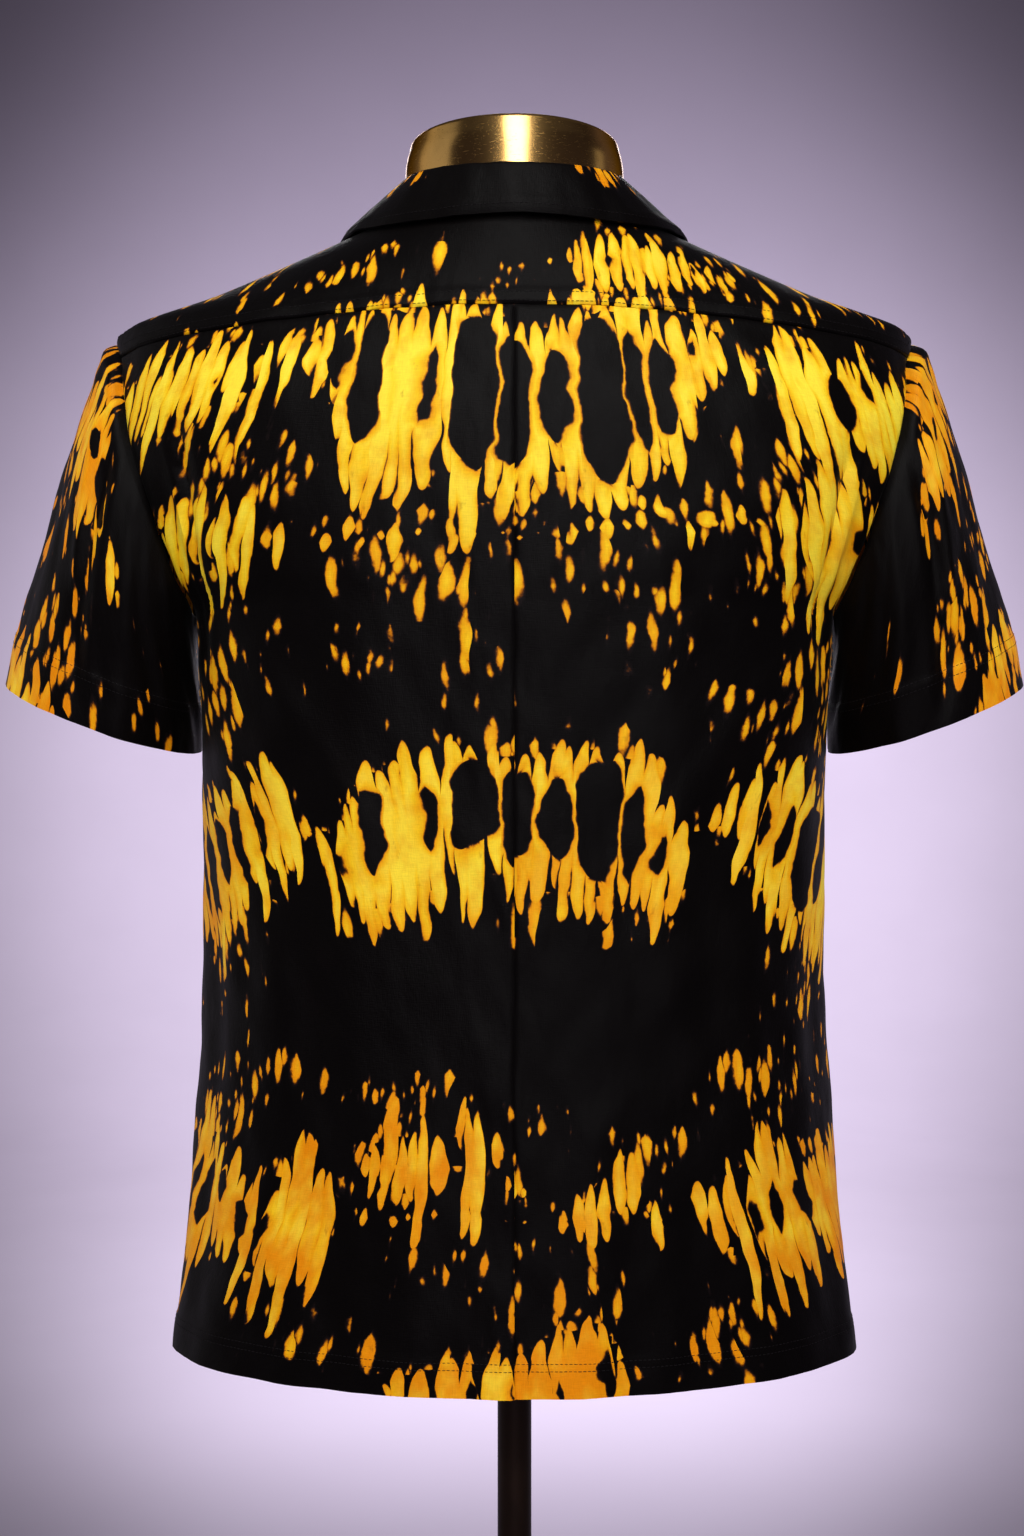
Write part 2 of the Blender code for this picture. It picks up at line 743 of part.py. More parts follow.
def build_buttons():
    """Dished buttons on the lapped front, square to the cloth."""
    rim = 0.0004
    profile = (
        (0.0, 0.0),
        (BUTTON_RADIUS - rim, 0.0),
        (BUTTON_RADIUS, rim),
        (BUTTON_RADIUS, BUTTON_THICKNESS - rim),
        (BUTTON_RADIUS - rim, BUTTON_THICKNESS),
        (BUTTON_DISH_RADIUS, BUTTON_THICKNESS),
        (BUTTON_DISH_RADIUS - BUTTON_DISH_DEPTH, BUTTON_THICKNESS - BUTTON_DISH_DEPTH),
        (0.0, BUTTON_THICKNESS - BUTTON_DISH_DEPTH),
    )
    for i, (height, gap) in enumerate(BUTTONS):
        normal = torso_normal(180.0, height)
        centre = torso(180.0, height) + normal * gap
        place = normal.to_track_quat("Z", "Y").to_matrix().to_4x4()
        place.translation = centre
        turned(f"button_{i + 1}", profile, BUTTON_SEGMENTS, place)


def build_form():
    """The limbless torso and neck that carry the shirt, smooth and closed."""

    def make(bm):
        rings = []
        for row in FORM_SECTIONS:
            angles = [360.0 * k / FORM_COLUMNS for k in range(FORM_COLUMNS)]
            rings.append([bm.verts.new(section_point(read_form, angle, row[0])) for angle in angles])
        for below, above in zip(rings, rings[1:]):
            for k in range(FORM_COLUMNS):
                n = (k + 1) % FORM_COLUMNS
                bm.faces.new((below[k], below[n], above[n], above[k]))
        bm.faces.new(rings[0])
        bm.faces.new(rings[-1])

    add_object("form_torso", make)


def build_stand():
    """Neck cap, pole with its flange, and the round base plate with its hub."""
    turned("neck_cap", NECK_CAP_PROFILE, NECK_CAP_SEGMENTS)
    top = FORM_UNDERSIDE - METAL_GAP
    foot = BASE_THICKNESS + METAL_GAP
    turned(
        "pole",
        (
            (0.0, foot),
            (POLE_RADIUS, foot),
            (POLE_RADIUS, top - FLANGE_THICKNESS),
            (FLANGE_RADIUS, top - FLANGE_THICKNESS),
            (FLANGE_RADIUS, top),
            (0.0, top),
        ),
        POLE_SEGMENTS,
    )
    edge = 0.003
    bore = POLE_RADIUS + METAL_GAP
    turned(
        "base",
        (
            (0.0, 0.0),
            (BASE_RADIUS - 0.001, 0.0),
            (BASE_RADIUS, 0.001),
            (BASE_RADIUS, BASE_THICKNESS - edge),
            (BASE_RADIUS - edge, BASE_THICKNESS),
            (HUB_RADIUS, BASE_THICKNESS),
            (HUB_RADIUS - 0.002, HUB_HEIGHT),
            (bore, HUB_HEIGHT),
            (bore, BASE_THICKNESS),
            (0.0, BASE_THICKNESS),
        ),
        STAND_SEGMENTS,
    )


def main():
    clear_scene()
    build_backs()
    build_yoke()
    build_fronts()
    build_sleeves()
    build_collar()
    build_lapels()
    build_buttons()
    build_form()
    build_stand()


main()
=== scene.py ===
"""Finished look of a short sleeved batik shirt on a limbless dress form with neck cap, pole and base.

Metres, +Z up, the front of the shirt towards -Y, the wearer's left towards +X, the floor at z = 0.
A place on the shirt's body is an angle round the pole, from the centre back (0) past the side (90) to the
centre front (180), and a height. A place on its cloth is u, along the weft from the centre, and v, up from
the hem.
"""

import math

import bmesh
import bpy
import numpy as np
from bpy.props import FloatProperty, FloatVectorProperty, PointerProperty
from mathutils import Matrix, Vector


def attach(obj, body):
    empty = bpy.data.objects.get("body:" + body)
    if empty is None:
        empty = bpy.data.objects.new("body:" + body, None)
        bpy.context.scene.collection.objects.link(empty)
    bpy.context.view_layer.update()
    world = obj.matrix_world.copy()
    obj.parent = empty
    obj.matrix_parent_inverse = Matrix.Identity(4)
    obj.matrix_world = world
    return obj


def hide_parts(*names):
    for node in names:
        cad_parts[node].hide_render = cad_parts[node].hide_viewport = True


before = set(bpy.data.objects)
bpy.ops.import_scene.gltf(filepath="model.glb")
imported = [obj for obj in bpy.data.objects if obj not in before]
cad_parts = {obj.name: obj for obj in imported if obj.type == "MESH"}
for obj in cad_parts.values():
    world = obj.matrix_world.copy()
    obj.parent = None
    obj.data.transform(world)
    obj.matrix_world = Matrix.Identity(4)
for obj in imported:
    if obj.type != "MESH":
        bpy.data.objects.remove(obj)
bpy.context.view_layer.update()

bl_info = {
    "name": "Batik shirt on a dress form",
    "version": (1, 0, 0),
    "blender": (4, 5, 0),
    "location": "View3D > Sidebar > Shirt",
    "description": "Makes the cloth, stitching, buttons, form and stand of a batik shirt, and a plain studio",
    "category": "Object",
}

# Cloth and seams
SEAM_GAP = 0.0004
LAY_GAP = 0.0006
SEAM_ROLL = 0.0009
SEAM_ROLL_WIDTH = 0.0035
HEM_FOLD = 0.022
HEM_THICKENING = 0.0007
SLEEVE_HEM_FOLD = 0.035

# Topstitching: how far its rows lie from the edge, and how it draws the cloth in
HEM_ROWS = (HEM_FOLD - 0.0015, HEM_FOLD - 0.0058)
CUFF_ROWS = (SLEEVE_HEM_FOLD - 0.0010, SLEEVE_HEM_FOLD - 0.0065)
YOKE_ROWS = (0.0020, 0.0080)
COLLAR_ROW = 0.0055
FRONT_ROW = 0.0060
FACING_ROW = 0.0300
ROW_SINK = 0.0003
ROW_SINK_WIDTH = 0.0014

# The yoke laps over the backs in a low ridge, and rolls in at the neck
YOKE_RIDGE = 0.0007
YOKE_RIDGE_WIDTH = 0.012
YOKE_NECK_ROLL = 0.0006
YOKE_NECK_ROLL_WIDTH = 0.006
YOKE_FOLD_REACH = 0.05

# How far along its length a fold fades in and out, and the hem's small waves
FOLD_FADE = 0.22
HEM_WAVE = 0.0008
HEM_WAVE_NUMBER = 95
HEM_WAVE_REACH = 0.10

# Faint unevenness: seed, wavelength and amplitude of each set of ripples
BODY_RIPPLES = ((5, 0.055, 0.0005), (6, 0.020, 0.00016))
SLEEVE_RIPPLES = ((11, 0.050, 0.0006), (12, 0.018, 0.00016))
COLLAR_RIPPLES = (21, 0.040, 0.0005)

# The body's folds fade towards the shoulders that carry the cloth
FADE_HEIGHT = 1.43
FADE_RUN = 0.05
FADE_SHARE = 0.85

# Heights and angles of the shirt
HEM = 0.798
UNDERARM = 1.268
YOKE_BACK = 1.4475
YOKE_BACK_FALL = 0.0175
YOKE_BACK_END = 83.5
COLLAR_BREAK = 1.370
NECK_SIDE_FRONT = 120.0
OVERLAP = 0.014
OVERLAP_STEP = 0.0026
OVERLAP_BLEND = 0.018

TORSO_SECTIONS = (
    # height, half_width, back_depth, front_depth, squareness
    (0.798, 0.221, 0.11, 0.118, 1.9), (0.86, 0.213, 0.1075, 0.1165, 1.96),
    (0.94, 0.2045, 0.1045, 0.116, 2.03), (1.04, 0.1985, 0.102, 0.117, 2.12),
    (1.12, 0.1985, 0.1015, 0.12, 2.2), (1.2, 0.2015, 0.1035, 0.1235, 2.3),
    (1.268, 0.205, 0.107, 0.126, 2.42), (1.29, 0.218, 0.108, 0.126, 2.48), (1.331, 0.24, 0.109, 0.124, 2.5),
    (1.376, 0.2545, 0.108, 0.117, 2.5), (1.415, 0.258, 0.103, 0.105, 2.35),
    (1.446, 0.256, 0.0955, 0.089, 2.1), (1.47, 0.198, 0.089, 0.0795, 1.95),
    (1.49, 0.153, 0.0832, 0.0742, 1.8), (1.51, 0.1085, 0.0776, 0.0714, 1.7),
    (1.53, 0.064, 0.074, 0.07, 1.7),
)
ARMHOLE = (
    # angle, height, from the underarm up the back, over the shoulder point and down the front
    (90.0, 1.268), (84.0, 1.274), (80.0, 1.292), (77.8, 1.331), (78.8, 1.376), (80.8, 1.408), (83.5, 1.43),
    (91.0, 1.446), (98.5, 1.43), (102.5, 1.4), (104.5, 1.366), (104.5, 1.326), (101.0, 1.29), (96.0, 1.273),
)
ARMHOLE_YOKE_BACK = 6
ARMHOLE_TIP = 7
ARMHOLE_YOKE_FRONT = 8
NECKLINE = (
    # angle, height
    (0.0, 1.512), (45.0, 1.5155), (90.0, 1.5222), (120.0, 1.51),
)

CUFF_CENTRE = np.array((0.2727, -0.0280, 1.2039))
CUFF_ACROSS = np.array((0.0631, 0.0, 0.0233))
CUFF_BACKWARD = np.array((0.0, 0.0595, -0.0075))
CUFF_PULL_OUTSIDE = np.array((0.066, -0.034, -0.240))
CUFF_PULL_INSIDE = np.array((0.010, -0.020, -0.085))
UNDERARM_PULL = np.array((0.012, -0.020, -0.050))
SHOULDER_PULL = np.array((0.086, 0.0, -0.084))
SLEEVE_FULLNESS = 0.045
SEAM_ROOM = 0.0006
SLEEVE_HEAD = (
    # fullness, where down the sleeve it is greatest, its reach, the armhole height where it starts and its run
    (0.0040, 0.0082, 0.0062, 1.36, 0.06),
    (0.0022, 0.0190, 0.0090, 1.395, 0.035),
)
SLEEVE_HOLLOW = 0.0048
SLEEVE_HOLLOW_DOWN = 0.1180
SLEEVE_HOLLOW_REACH = (0.0600, 0.070)
SLEEVE_COLUMNS = 56
SLEEVE_TIP_COLUMN = SLEEVE_COLUMNS + SLEEVE_COLUMNS // 4

COLLAR = (
    # seam_angle, seam_height, fold_x, fold_y, fold_z, edge_angle, edge_height, edge_lift
    (0.0, 1.5124, 0.0, 0.0768, 1.5378, 0.0, 1.5045, 0.0048),
    (45.0, 1.5159, 0.0547, 0.0545, 1.54, 50.0, 1.503, 0.0034),
    (90.0, 1.5226, 0.0741, -0.002, 1.5452, 90.0, 1.508, 0.0025),
    (120.0, 1.5104, 0.0732, -0.044, 1.5315, 112.0, 1.488, 0.0025),
    (141.0, 1.482, 0.0585, -0.0765, 1.496, 126.0, 1.46, 0.0025),
    (153.0, 1.45, 0.0425, -0.089, 1.4525, 134.0, 1.432, 0.0025),
)
COLLAR_FOLD_RADIUS = 0.0018
COLLAR_BOW = 0.0008
COLLAR_SEAM_LIFT = 0.0026
COLLAR_SEAM_SINK = 0.0006
COLLAR_HALF_CLOTH = 0.0006
COLLAR_EDGE_ROLL = 0.0005
COLLAR_EDGE_ROLL_WIDTH = 0.0025
COLLAR_FALL_STARTS = 0.045
COLLAR_FALL_RUN = 0.02
# The swell inside the collar's topstitching: its height, distance from the edge and reach
COLLAR_SWELL = (0.0006, 0.0075, 0.004)
COLLAR_SEAM_GAP = 0.0008

LAPEL_TOP = 1.446
LAPEL_TIP_X = 0.094
LAPEL_TIP_Z = 1.408
LAPEL_BOTTOM = 1.376
LAPEL_BELLY = 0.006
LAPEL_LIFT = 0.0012
LAPEL_FOLD_REACH = 0.006
LAPEL_EDGE_ROLL = 0.0004
LAPEL_EDGE_ROLL_WIDTH = 0.0025

# The collar is cut from cloth that lies this far below the body's bands
OUT_OF_BANDS = 5.0

BUTTONS = (
    # height, gap to the torso surface
    (1.352, -0.0004), (1.24, 0.0005), (1.128, 0.0005), (1.016, 0.0005), (0.904, 0.0004),
)

FORM_SECTIONS = (
    # height, half_width, back_depth, front_depth, squareness
    (0.868, 0.148, 0.072, 0.078, 2.2), (0.872, 0.16, 0.081, 0.088, 2.2), (0.884, 0.169, 0.087, 0.095, 2.2),
    (0.93, 0.176, 0.092, 0.1, 2.2), (0.98, 0.177, 0.093, 0.101, 2.2), (1.04, 0.17, 0.09, 0.099, 2.2),
    (1.1, 0.166, 0.088, 0.1, 2.2), (1.16, 0.17, 0.09, 0.105, 2.25), (1.22, 0.179, 0.094, 0.111, 2.3),
    (1.28, 0.19, 0.0985, 0.115, 2.35), (1.32, 0.201, 0.1005, 0.114, 2.35),
    (1.36, 0.214, 0.1005, 0.109, 2.3), (1.395, 0.226, 0.098, 0.1, 2.25), (1.42, 0.233, 0.094, 0.092, 2.15),
    (1.436, 0.235, 0.0905, 0.0855, 2.05), (1.446, 0.233, 0.088, 0.082, 2.0),
    (1.453, 0.2265, 0.0864, 0.0795, 1.98), (1.462, 0.212, 0.0842, 0.077, 1.95),
    (1.474, 0.184, 0.0809, 0.0725, 1.88), (1.488, 0.15, 0.0769, 0.0685, 1.78),
    (1.5, 0.12, 0.0732, 0.066, 1.72), (1.51, 0.096, 0.0708, 0.065, 1.72),
    (1.519, 0.0775, 0.0695, 0.065, 1.85), (1.5275, 0.0695, 0.0685, 0.0655, 2.0),
)

# The dyed pattern: each band has its fringe's length and rows of u, top, bottom and how far its windows open
BACK_BANDS = (
    (
        (0.03, (
            (-0.3, 0.612, 0.56, 0.0), (-0.245, 0.622, 0.585, 0.0), (-0.205, 0.632, 0.572, 0.5),
            (-0.165, 0.634, 0.59, 0.0), (-0.13, 0.622, 0.632, 0.0), (-0.112, 0.64, 0.612, 0.0),
            (-0.09, 0.648, 0.566, 0.7), (-0.05, 0.65, 0.54, 1.0), (-0.014, 0.64, 0.552, 0.8),
            (0.02, 0.643, 0.53, 1.0), (0.06, 0.646, 0.556, 1.0), (0.094, 0.65, 0.54, 0.8),
            (0.118, 0.628, 0.618, 0.0), (0.138, 0.62, 0.632, 0.0), (0.158, 0.634, 0.6, 0.0),
            (0.205, 0.636, 0.592, 0.2), (0.235, 0.618, 0.596, 0.0), (0.29, 0.615, 0.56, 0.6),
        )),
        (0.034, (
            (-0.3, 0.13, 0.062, 0.8), (-0.24, 0.15, 0.08, 0.9), (-0.195, 0.13, 0.084, 0.0),
            (-0.16, 0.142, 0.072, 0.7), (-0.12, 0.128, 0.092, 0.0), (-0.096, 0.11, 0.128, 0.0),
            (0.098, 0.106, 0.126, 0.0), (0.125, 0.132, 0.082, 0.0), (0.165, 0.118, 0.066, 0.7),
            (0.205, 0.144, 0.08, 0.8), (0.245, 0.142, 0.06, 0.7), (0.3, 0.13, 0.05, 0.0),
        )),
    ),
    (
        (0.018, (
            (-0.124, 0.69, 0.678, 0.0), (-0.092, 0.704, 0.668, 0.0), (-0.06, 0.7, 0.664, 0.0),
            (-0.038, 0.69, 0.674, 0.0),
        )),
        (0.026, (
            (-0.235, 0.545, 0.505, 0.0), (-0.2, 0.552, 0.482, 0.3), (-0.165, 0.544, 0.504, 0.0),
            (-0.14, 0.524, 0.53, 0.0), (0.15, 0.51, 0.52, 0.0), (0.175, 0.532, 0.506, 0.0),
            (0.205, 0.54, 0.496, 0.0), (0.235, 0.53, 0.5, 0.0),
        )),
        (0.026, (
            (-0.3, 0.38, 0.29, 0.3), (-0.25, 0.39, 0.304, 0.8), (-0.205, 0.36, 0.268, 0.8),
            (-0.165, 0.374, 0.29, 0.8), (-0.13, 0.366, 0.33, 0.0), (-0.108, 0.33, 0.346, 0.0),
            (-0.094, 0.345, 0.302, 0.0), (-0.066, 0.378, 0.296, 0.9), (-0.025, 0.386, 0.304, 1.0),
            (0.015, 0.376, 0.308, 1.0), (0.055, 0.384, 0.298, 1.0), (0.088, 0.364, 0.286, 0.7),
            (0.108, 0.338, 0.3, 0.0), (0.122, 0.326, 0.346, 0.0), (0.138, 0.35, 0.322, 0.0),
            (0.17, 0.37, 0.292, 0.6), (0.212, 0.35, 0.262, 0.8), (0.25, 0.364, 0.29, 0.7),
            (0.3, 0.345, 0.29, 0.0),
        )),
        (0.042, (
            (0.004, 0.132, 0.14, 0.0), (0.02, 0.152, 0.138, 0.0), (0.052, 0.154, 0.138, 0.0),
            (0.078, 0.149, 0.139, 0.0), (0.094, 0.134, 0.142, 0.0),
        )),
        (0.034, (
            (-0.078, 0.112, 0.118, 0.0), (-0.062, 0.126, 0.116, 0.0), (-0.044, 0.128, 0.115, 0.0),
            (-0.03, 0.112, 0.118, 0.0),
        )),
        (0.022, (
            (-0.062, 0.01, 0.02, 0.0), (-0.04, 0.046, -0.03, 0.0), (-0.012, 0.038, -0.03, 0.0),
            (0.022, 0.02, -0.03, 0.0), (0.06, 0.014, -0.03, 0.0), (0.078, 0.006, 0.02, 0.0),
        )),
    ),
)
SLEEVE_BANDS = (
    (
        (0.026, (
            (-0.23, -0.03, -0.044, 0.0), (-0.13, -0.012, -0.056, 1.0), (-0.08, -0.022, -0.034, 0.3),
            (-0.04, -0.004, -0.05, 1.0), (0.0, -0.006, -0.054, 1.0), (0.036, -0.02, -0.036, 0.2),
            (0.06, -0.014, -0.058, 1.0), (0.095, -0.03, -0.064, 0.8), (0.12, -0.06, -0.052, 0.0),
        )),
    ),
    (
        (0.03, (
            (-0.23, -0.185, -0.205, 0.0), (-0.12, -0.186, -0.208, 0.6), (-0.07, -0.206, -0.2, 0.0),
            (-0.03, -0.2, -0.22, 0.4), (0.01, -0.184, -0.208, 0.6), (0.04, -0.2, -0.206, 0.0),
            (0.066, -0.192, -0.214, 0.3), (0.092, -0.206, -0.2, 0.0),
        )),
    ),
)
BACK_CLOUDS = (
    # u, v, reach along u, reach along v, how thick the drops lie
    (0.165, 0.54, 0.06, 0.045, 0.85), (-0.16, 0.52, 0.06, 0.06, 0.9), (0.055, 0.488, 0.06, 0.032, 0.78),
    (-0.055, 0.492, 0.05, 0.03, 0.76), (0.185, 0.44, 0.06, 0.06, 0.72), (-0.205, 0.43, 0.05, 0.06, 0.88),
    (0.085, 0.44, 0.034, 0.036, 0.66), (-0.08, 0.448, 0.034, 0.034, 0.66), (0.026, 0.43, 0.022, 0.04, 0.8),
    (0.03, 0.398, 0.11, 0.014, 0.45), (-0.135, 0.41, 0.04, 0.022, 0.6), (0.2, 0.255, 0.055, 0.045, 0.62),
    (-0.195, 0.24, 0.055, 0.045, 0.66), (0.18, 0.175, 0.065, 0.034, 0.68),
    (-0.165, 0.18, 0.065, 0.034, 0.7), (0.066, 0.176, 0.04, 0.016, 0.9),
    (-0.066, 0.142, 0.045, 0.022, 0.75), (-0.006, 0.17, 0.022, 0.02, 0.66), (0.0, 0.275, 0.1, 0.014, 0.4),
    (0.0, 0.075, 0.1, 0.034, 0.55), (0.14, 0.03, 0.06, 0.028, 0.66), (-0.13, 0.034, 0.05, 0.034, 0.78),
    (0.095, 0.684, 0.06, 0.022, 0.7), (-0.11, 0.68, 0.07, 0.024, 0.82), (0.2, 0.69, 0.09, 0.044, 0.68),
    (-0.2, 0.69, 0.09, 0.044, 0.7), (0.0, 0.668, 0.034, 0.012, 0.6),
)
SLEEVE_CLOUDS = (
    (0.02, -0.11, 0.08, 0.06, 0.74), (-0.11, -0.12, 0.08, 0.06, 0.68), (0.075, -0.13, 0.06, 0.06, 0.66),
    (0.14, -0.11, 0.05, 0.07, 0.4), (0.02, -0.22, 0.12, 0.03, 0.7),
)
COLLAR_CLOUDS = (
    (0.1, 0.034, 0.03, 0.012, 0.78), (0.04, 0.046, 0.02, 0.008, 0.6), (-0.085, 0.034, 0.036, 0.014, 0.76),
    (-0.02, 0.05, 0.03, 0.006, 0.6), (0.23, 0.03, 0.05, 0.03, 0.66), (-0.23, 0.03, 0.05, 0.03, 0.66),
)

# Folds: start u and v, end u and v, sideways bend, half width, depth, and how much one side stands up
BACK_FOLDS = (
    (0.214, 0.6, 0.21, 0.45, 0.002, 0.0055, -0.0042, 1.0),
    (-0.216, 0.59, -0.206, 0.44, -0.003, 0.006, -0.004, 1.0),
    (0.232, 0.575, 0.222, 0.42, 0.006, 0.01, -0.003, 0.4),
    (-0.235, 0.57, -0.22, 0.41, -0.006, 0.011, -0.0032, 0.4),
    (0.028, 0.62, 0.02, 0.26, 0.006, 0.015, 0.0016, 0.0),
    (-0.022, 0.6, -0.034, 0.24, -0.008, 0.017, 0.0015, 0.0),
    (0.075, 0.56, 0.095, 0.18, -0.008, 0.02, 0.0018, 0.0),
    (-0.08, 0.54, -0.09, 0.2, 0.01, 0.019, 0.0017, 0.0),
    (0.19, 0.455, 0.08, 0.3, 0.014, 0.012, 0.0018, 0.3),
    (-0.19, 0.45, -0.09, 0.31, -0.012, 0.012, 0.0018, 0.3),
    (0.15, 0.3, 0.165, 0.02, 0.004, 0.018, 0.0026, 0.0),
    (-0.145, 0.31, -0.16, 0.01, -0.006, 0.019, 0.0026, 0.0),
    (0.06, 0.18, 0.066, -0.02, 0.004, 0.017, 0.0018, 0.0),
    (-0.052, 0.2, -0.048, -0.02, -0.004, 0.016, 0.0018, 0.0),
    (0.11, 0.12, 0.118, -0.02, 0.002, 0.013, -0.0018, 0.0),
    (-0.104, 0.13, -0.11, -0.02, 0.002, 0.013, -0.0018, 0.0),
    (0.12, 0.64, 0.205, 0.56, -0.008, 0.009, 0.0014, 0.4),
    (-0.12, 0.64, -0.205, 0.555, 0.008, 0.009, 0.0014, 0.4),
)
FRONT_FOLDS = (
    (0.215, 0.59, 0.206, 0.44, 0.003, 0.006, -0.004, 1.0),
    (-0.212, 0.6, -0.208, 0.45, -0.003, 0.006, -0.0042, 1.0),
    (0.18, 0.47, 0.06, 0.3, 0.014, 0.012, 0.0022, 0.3),
    (-0.185, 0.46, -0.07, 0.31, -0.012, 0.012, 0.0022, 0.3),
    (0.09, 0.56, 0.08, 0.15, 0.008, 0.018, 0.0022, 0.0),
    (-0.085, 0.57, -0.095, 0.14, -0.008, 0.019, 0.0021, 0.0),
    (0.14, 0.32, 0.15, -0.01, 0.004, 0.018, 0.0028, 0.0),
    (-0.15, 0.3, -0.15, -0.01, -0.004, 0.018, 0.0027, 0.0),
    (0.05, 0.2, 0.06, -0.02, 0.004, 0.015, 0.0018, 0.0),
    (-0.056, 0.19, -0.06, -0.02, -0.004, 0.015, 0.0018, 0.0),
    (0.1, 0.13, 0.108, -0.02, 0.002, 0.013, -0.002, 0.0),
    (-0.104, 0.14, -0.112, -0.02, 0.002, 0.013, -0.002, 0.0),
)
SIDE_FOLDS = (
    # here u is measured from the side seam, towards the front
    (0.002, 0.42, 0.01, 0.06, 0.006, 0.016, 0.003, 0.0),
    (-0.032, 0.35, -0.04, -0.02, 0.004, 0.013, -0.0024, 0.0),
    (0.038, 0.36, 0.042, -0.02, 0.004, 0.013, -0.0024, 0.0),
)
SLEEVE_FOLDS = (
    # u round the sleeve from its top line, towards the back; v down it, as a negative length
    (0.105, -0.01, 0.098, -0.17, 0.006, 0.009, -0.0036, 0.6),
    (0.06, -0.01, 0.085, -0.12, -0.006, 0.009, 0.0024, 0.3),
    (-0.105, -0.01, -0.095, -0.18, -0.006, 0.009, -0.0036, 0.6),
    (-0.06, -0.01, -0.085, -0.12, 0.006, 0.009, 0.0024, 0.3),
    (0.02, -0.06, 0.012, -0.24, 0.004, 0.016, 0.002, 0.0),
    (-0.04, -0.08, -0.034, -0.24, 0.004, 0.015, 0.0018, 0.0),
    (0.142, -0.02, 0.125, -0.18, 0.004, 0.011, 0.0026, 0.0),
    (-0.142, -0.02, -0.125, -0.18, 0.004, 0.011, 0.0026, 0.0),
)


def hermite(start, start_pull, end, end_pull, t):
    """A smooth way from start to end, leaving and arriving with the given pulls."""
    leaving = start * (1 + 2 * t) * (1 - t) ** 2 + start_pull * t * (1 - t) ** 2
    return leaving + (end * t * t * (3 - 2 * t) - end_pull * t * t * (1 - t))


def cubic_table(table):
    """Reads a table's columns at values of its first one, smoothly and without overshooting its rows."""
    rows = np.array(table, float)
    keys, values = rows[:, 0], rows[:, 1:]
    steps = np.diff(values, axis=0) / np.diff(keys)[:, None]
    slopes = np.zeros_like(values)
    slopes[0], slopes[-1] = steps[0], steps[-1]
    before, after = steps[:-1], steps[1:]
    same_way = before * after > 0
    slopes[1:-1][same_way] = 2 * (before * after)[same_way] / (before + after)[same_way]

    def read(key):
        key = np.clip(np.asarray(key, float), keys[0], keys[-1])
        i = np.clip(np.searchsorted(keys, key, side="right") - 1, 0, len(keys) - 2)
        width = (keys[i + 1] - keys[i])[..., None]
        t = (key - keys[i])[..., None] / width
        return hermite(values[i], slopes[i] * width, values[i + 1], slopes[i + 1] * width, t)

    return read


read_torso = cubic_table(TORSO_SECTIONS)
read_form = cubic_table(FORM_SECTIONS)
read_neckline = cubic_table(NECKLINE)


def section_points(reader, angle, height):
    """Points of a body's sections, at angles in degrees from the centre back towards +X."""
    angle, height = np.broadcast_arrays(np.asarray(angle, float), np.asarray(height, float))
    half_width, back, front, squareness = np.moveaxis(reader(height), -1, 0)
    sine, cosine = np.sin(np.radians(angle)), np.cos(np.radians(angle))
    depth = np.where(cosine > 0, back, front)
    across = (np.abs(sine) / half_width) ** squareness
    along = (np.abs(cosine) / depth) ** squareness
    radius = (across + along) ** (-1.0 / squareness)
    return np.stack([radius * sine, radius * cosine, height], axis=-1)


def torso(angle, height):
    return section_points(read_torso, angle, height)


def unit(vectors):
    return vectors / np.maximum(np.linalg.norm(vectors, axis=-1, keepdims=True), 1e-12)


def torso_normal(angle, height):
    """Outward directions of the torso surface."""
    turn, rise = 0.4, 0.0008
    angle, height = np.asarray(angle, float), np.asarray(height, float)
    round_the_body = torso(angle + turn, height) - torso(angle - turn, height)
    upwards = torso(angle, height + rise) - torso(angle, height - rise)
    return unit(np.cross(upwards, round_the_body))


def angle_at_x(x, height):
    """Angles on the front of the torso where the surface stands at x, found by halving."""
    x, height = np.broadcast_arrays(np.asarray(x, float), np.asarray(height, float))
    low = np.where(x < 0, 180.0, 90.0)
    high = low + 90.0
    for _ in range(40):
        middle = 0.5 * (low + high)
        outside = torso(middle, height)[..., 0] > x
        low, high = np.where(outside, middle, low), np.where(outside, high, middle)
    return 0.5 * (low + high)


def spline(points, closed, per_span):
    """A smooth curve through points of any number of values, with per_span steps between neighbours."""
    points = np.array(points, float)
    count = len(points)
    spans = count if closed else count - 1
    t = (np.arange(per_span) / per_span)[:, None]
    curve = []
    for i in range(spans):
        near = [i - 1, i, i + 1, i + 2]
        if closed:
            a, b, c, d = (points[k % count] for k in near)
        else:
            a, b, c, d = (points[min(max(k, 0), count - 1)] for k in near)
        bend = (2 * a - 5 * b + 4 * c - d) * t**2 + (3 * b - a - 3 * c + d) * t**3
        curve.append(0.5 * (2 * b + (c - a) * t + bend))
    if not closed:
        curve.append(points[-1:])
    return np.concatenate(curve)


def at_shares(points, values, shares):
    """Values along a run of points, at shares of its length."""
    lengths = np.concatenate([[0.0], np.cumsum(np.linalg.norm(np.diff(points, axis=0), axis=-1))])
    targets = np.asarray(shares) * lengths[-1]
    return np.stack([np.interp(targets, lengths, column) for column in values.T], axis=-1)


ARMHOLE_STEPS = 24
ARMHOLE_LOOP = spline(ARMHOLE, True, ARMHOLE_STEPS)
ARMHOLE_LOOP = np.concatenate([ARMHOLE_LOOP, ARMHOLE_LOOP[:1]])


def armhole(first, last, shares):
    """Places along the armhole between two rows of its table, at shares of the way."""
    places = ARMHOLE_LOOP[first * ARMHOLE_STEPS : last * ARMHOLE_STEPS + 1]
    return at_shares(torso(places[:, 0], places[:, 1]), places, shares)


def armhole_back(shares):
    return armhole(0, ARMHOLE_YOKE_BACK, shares)


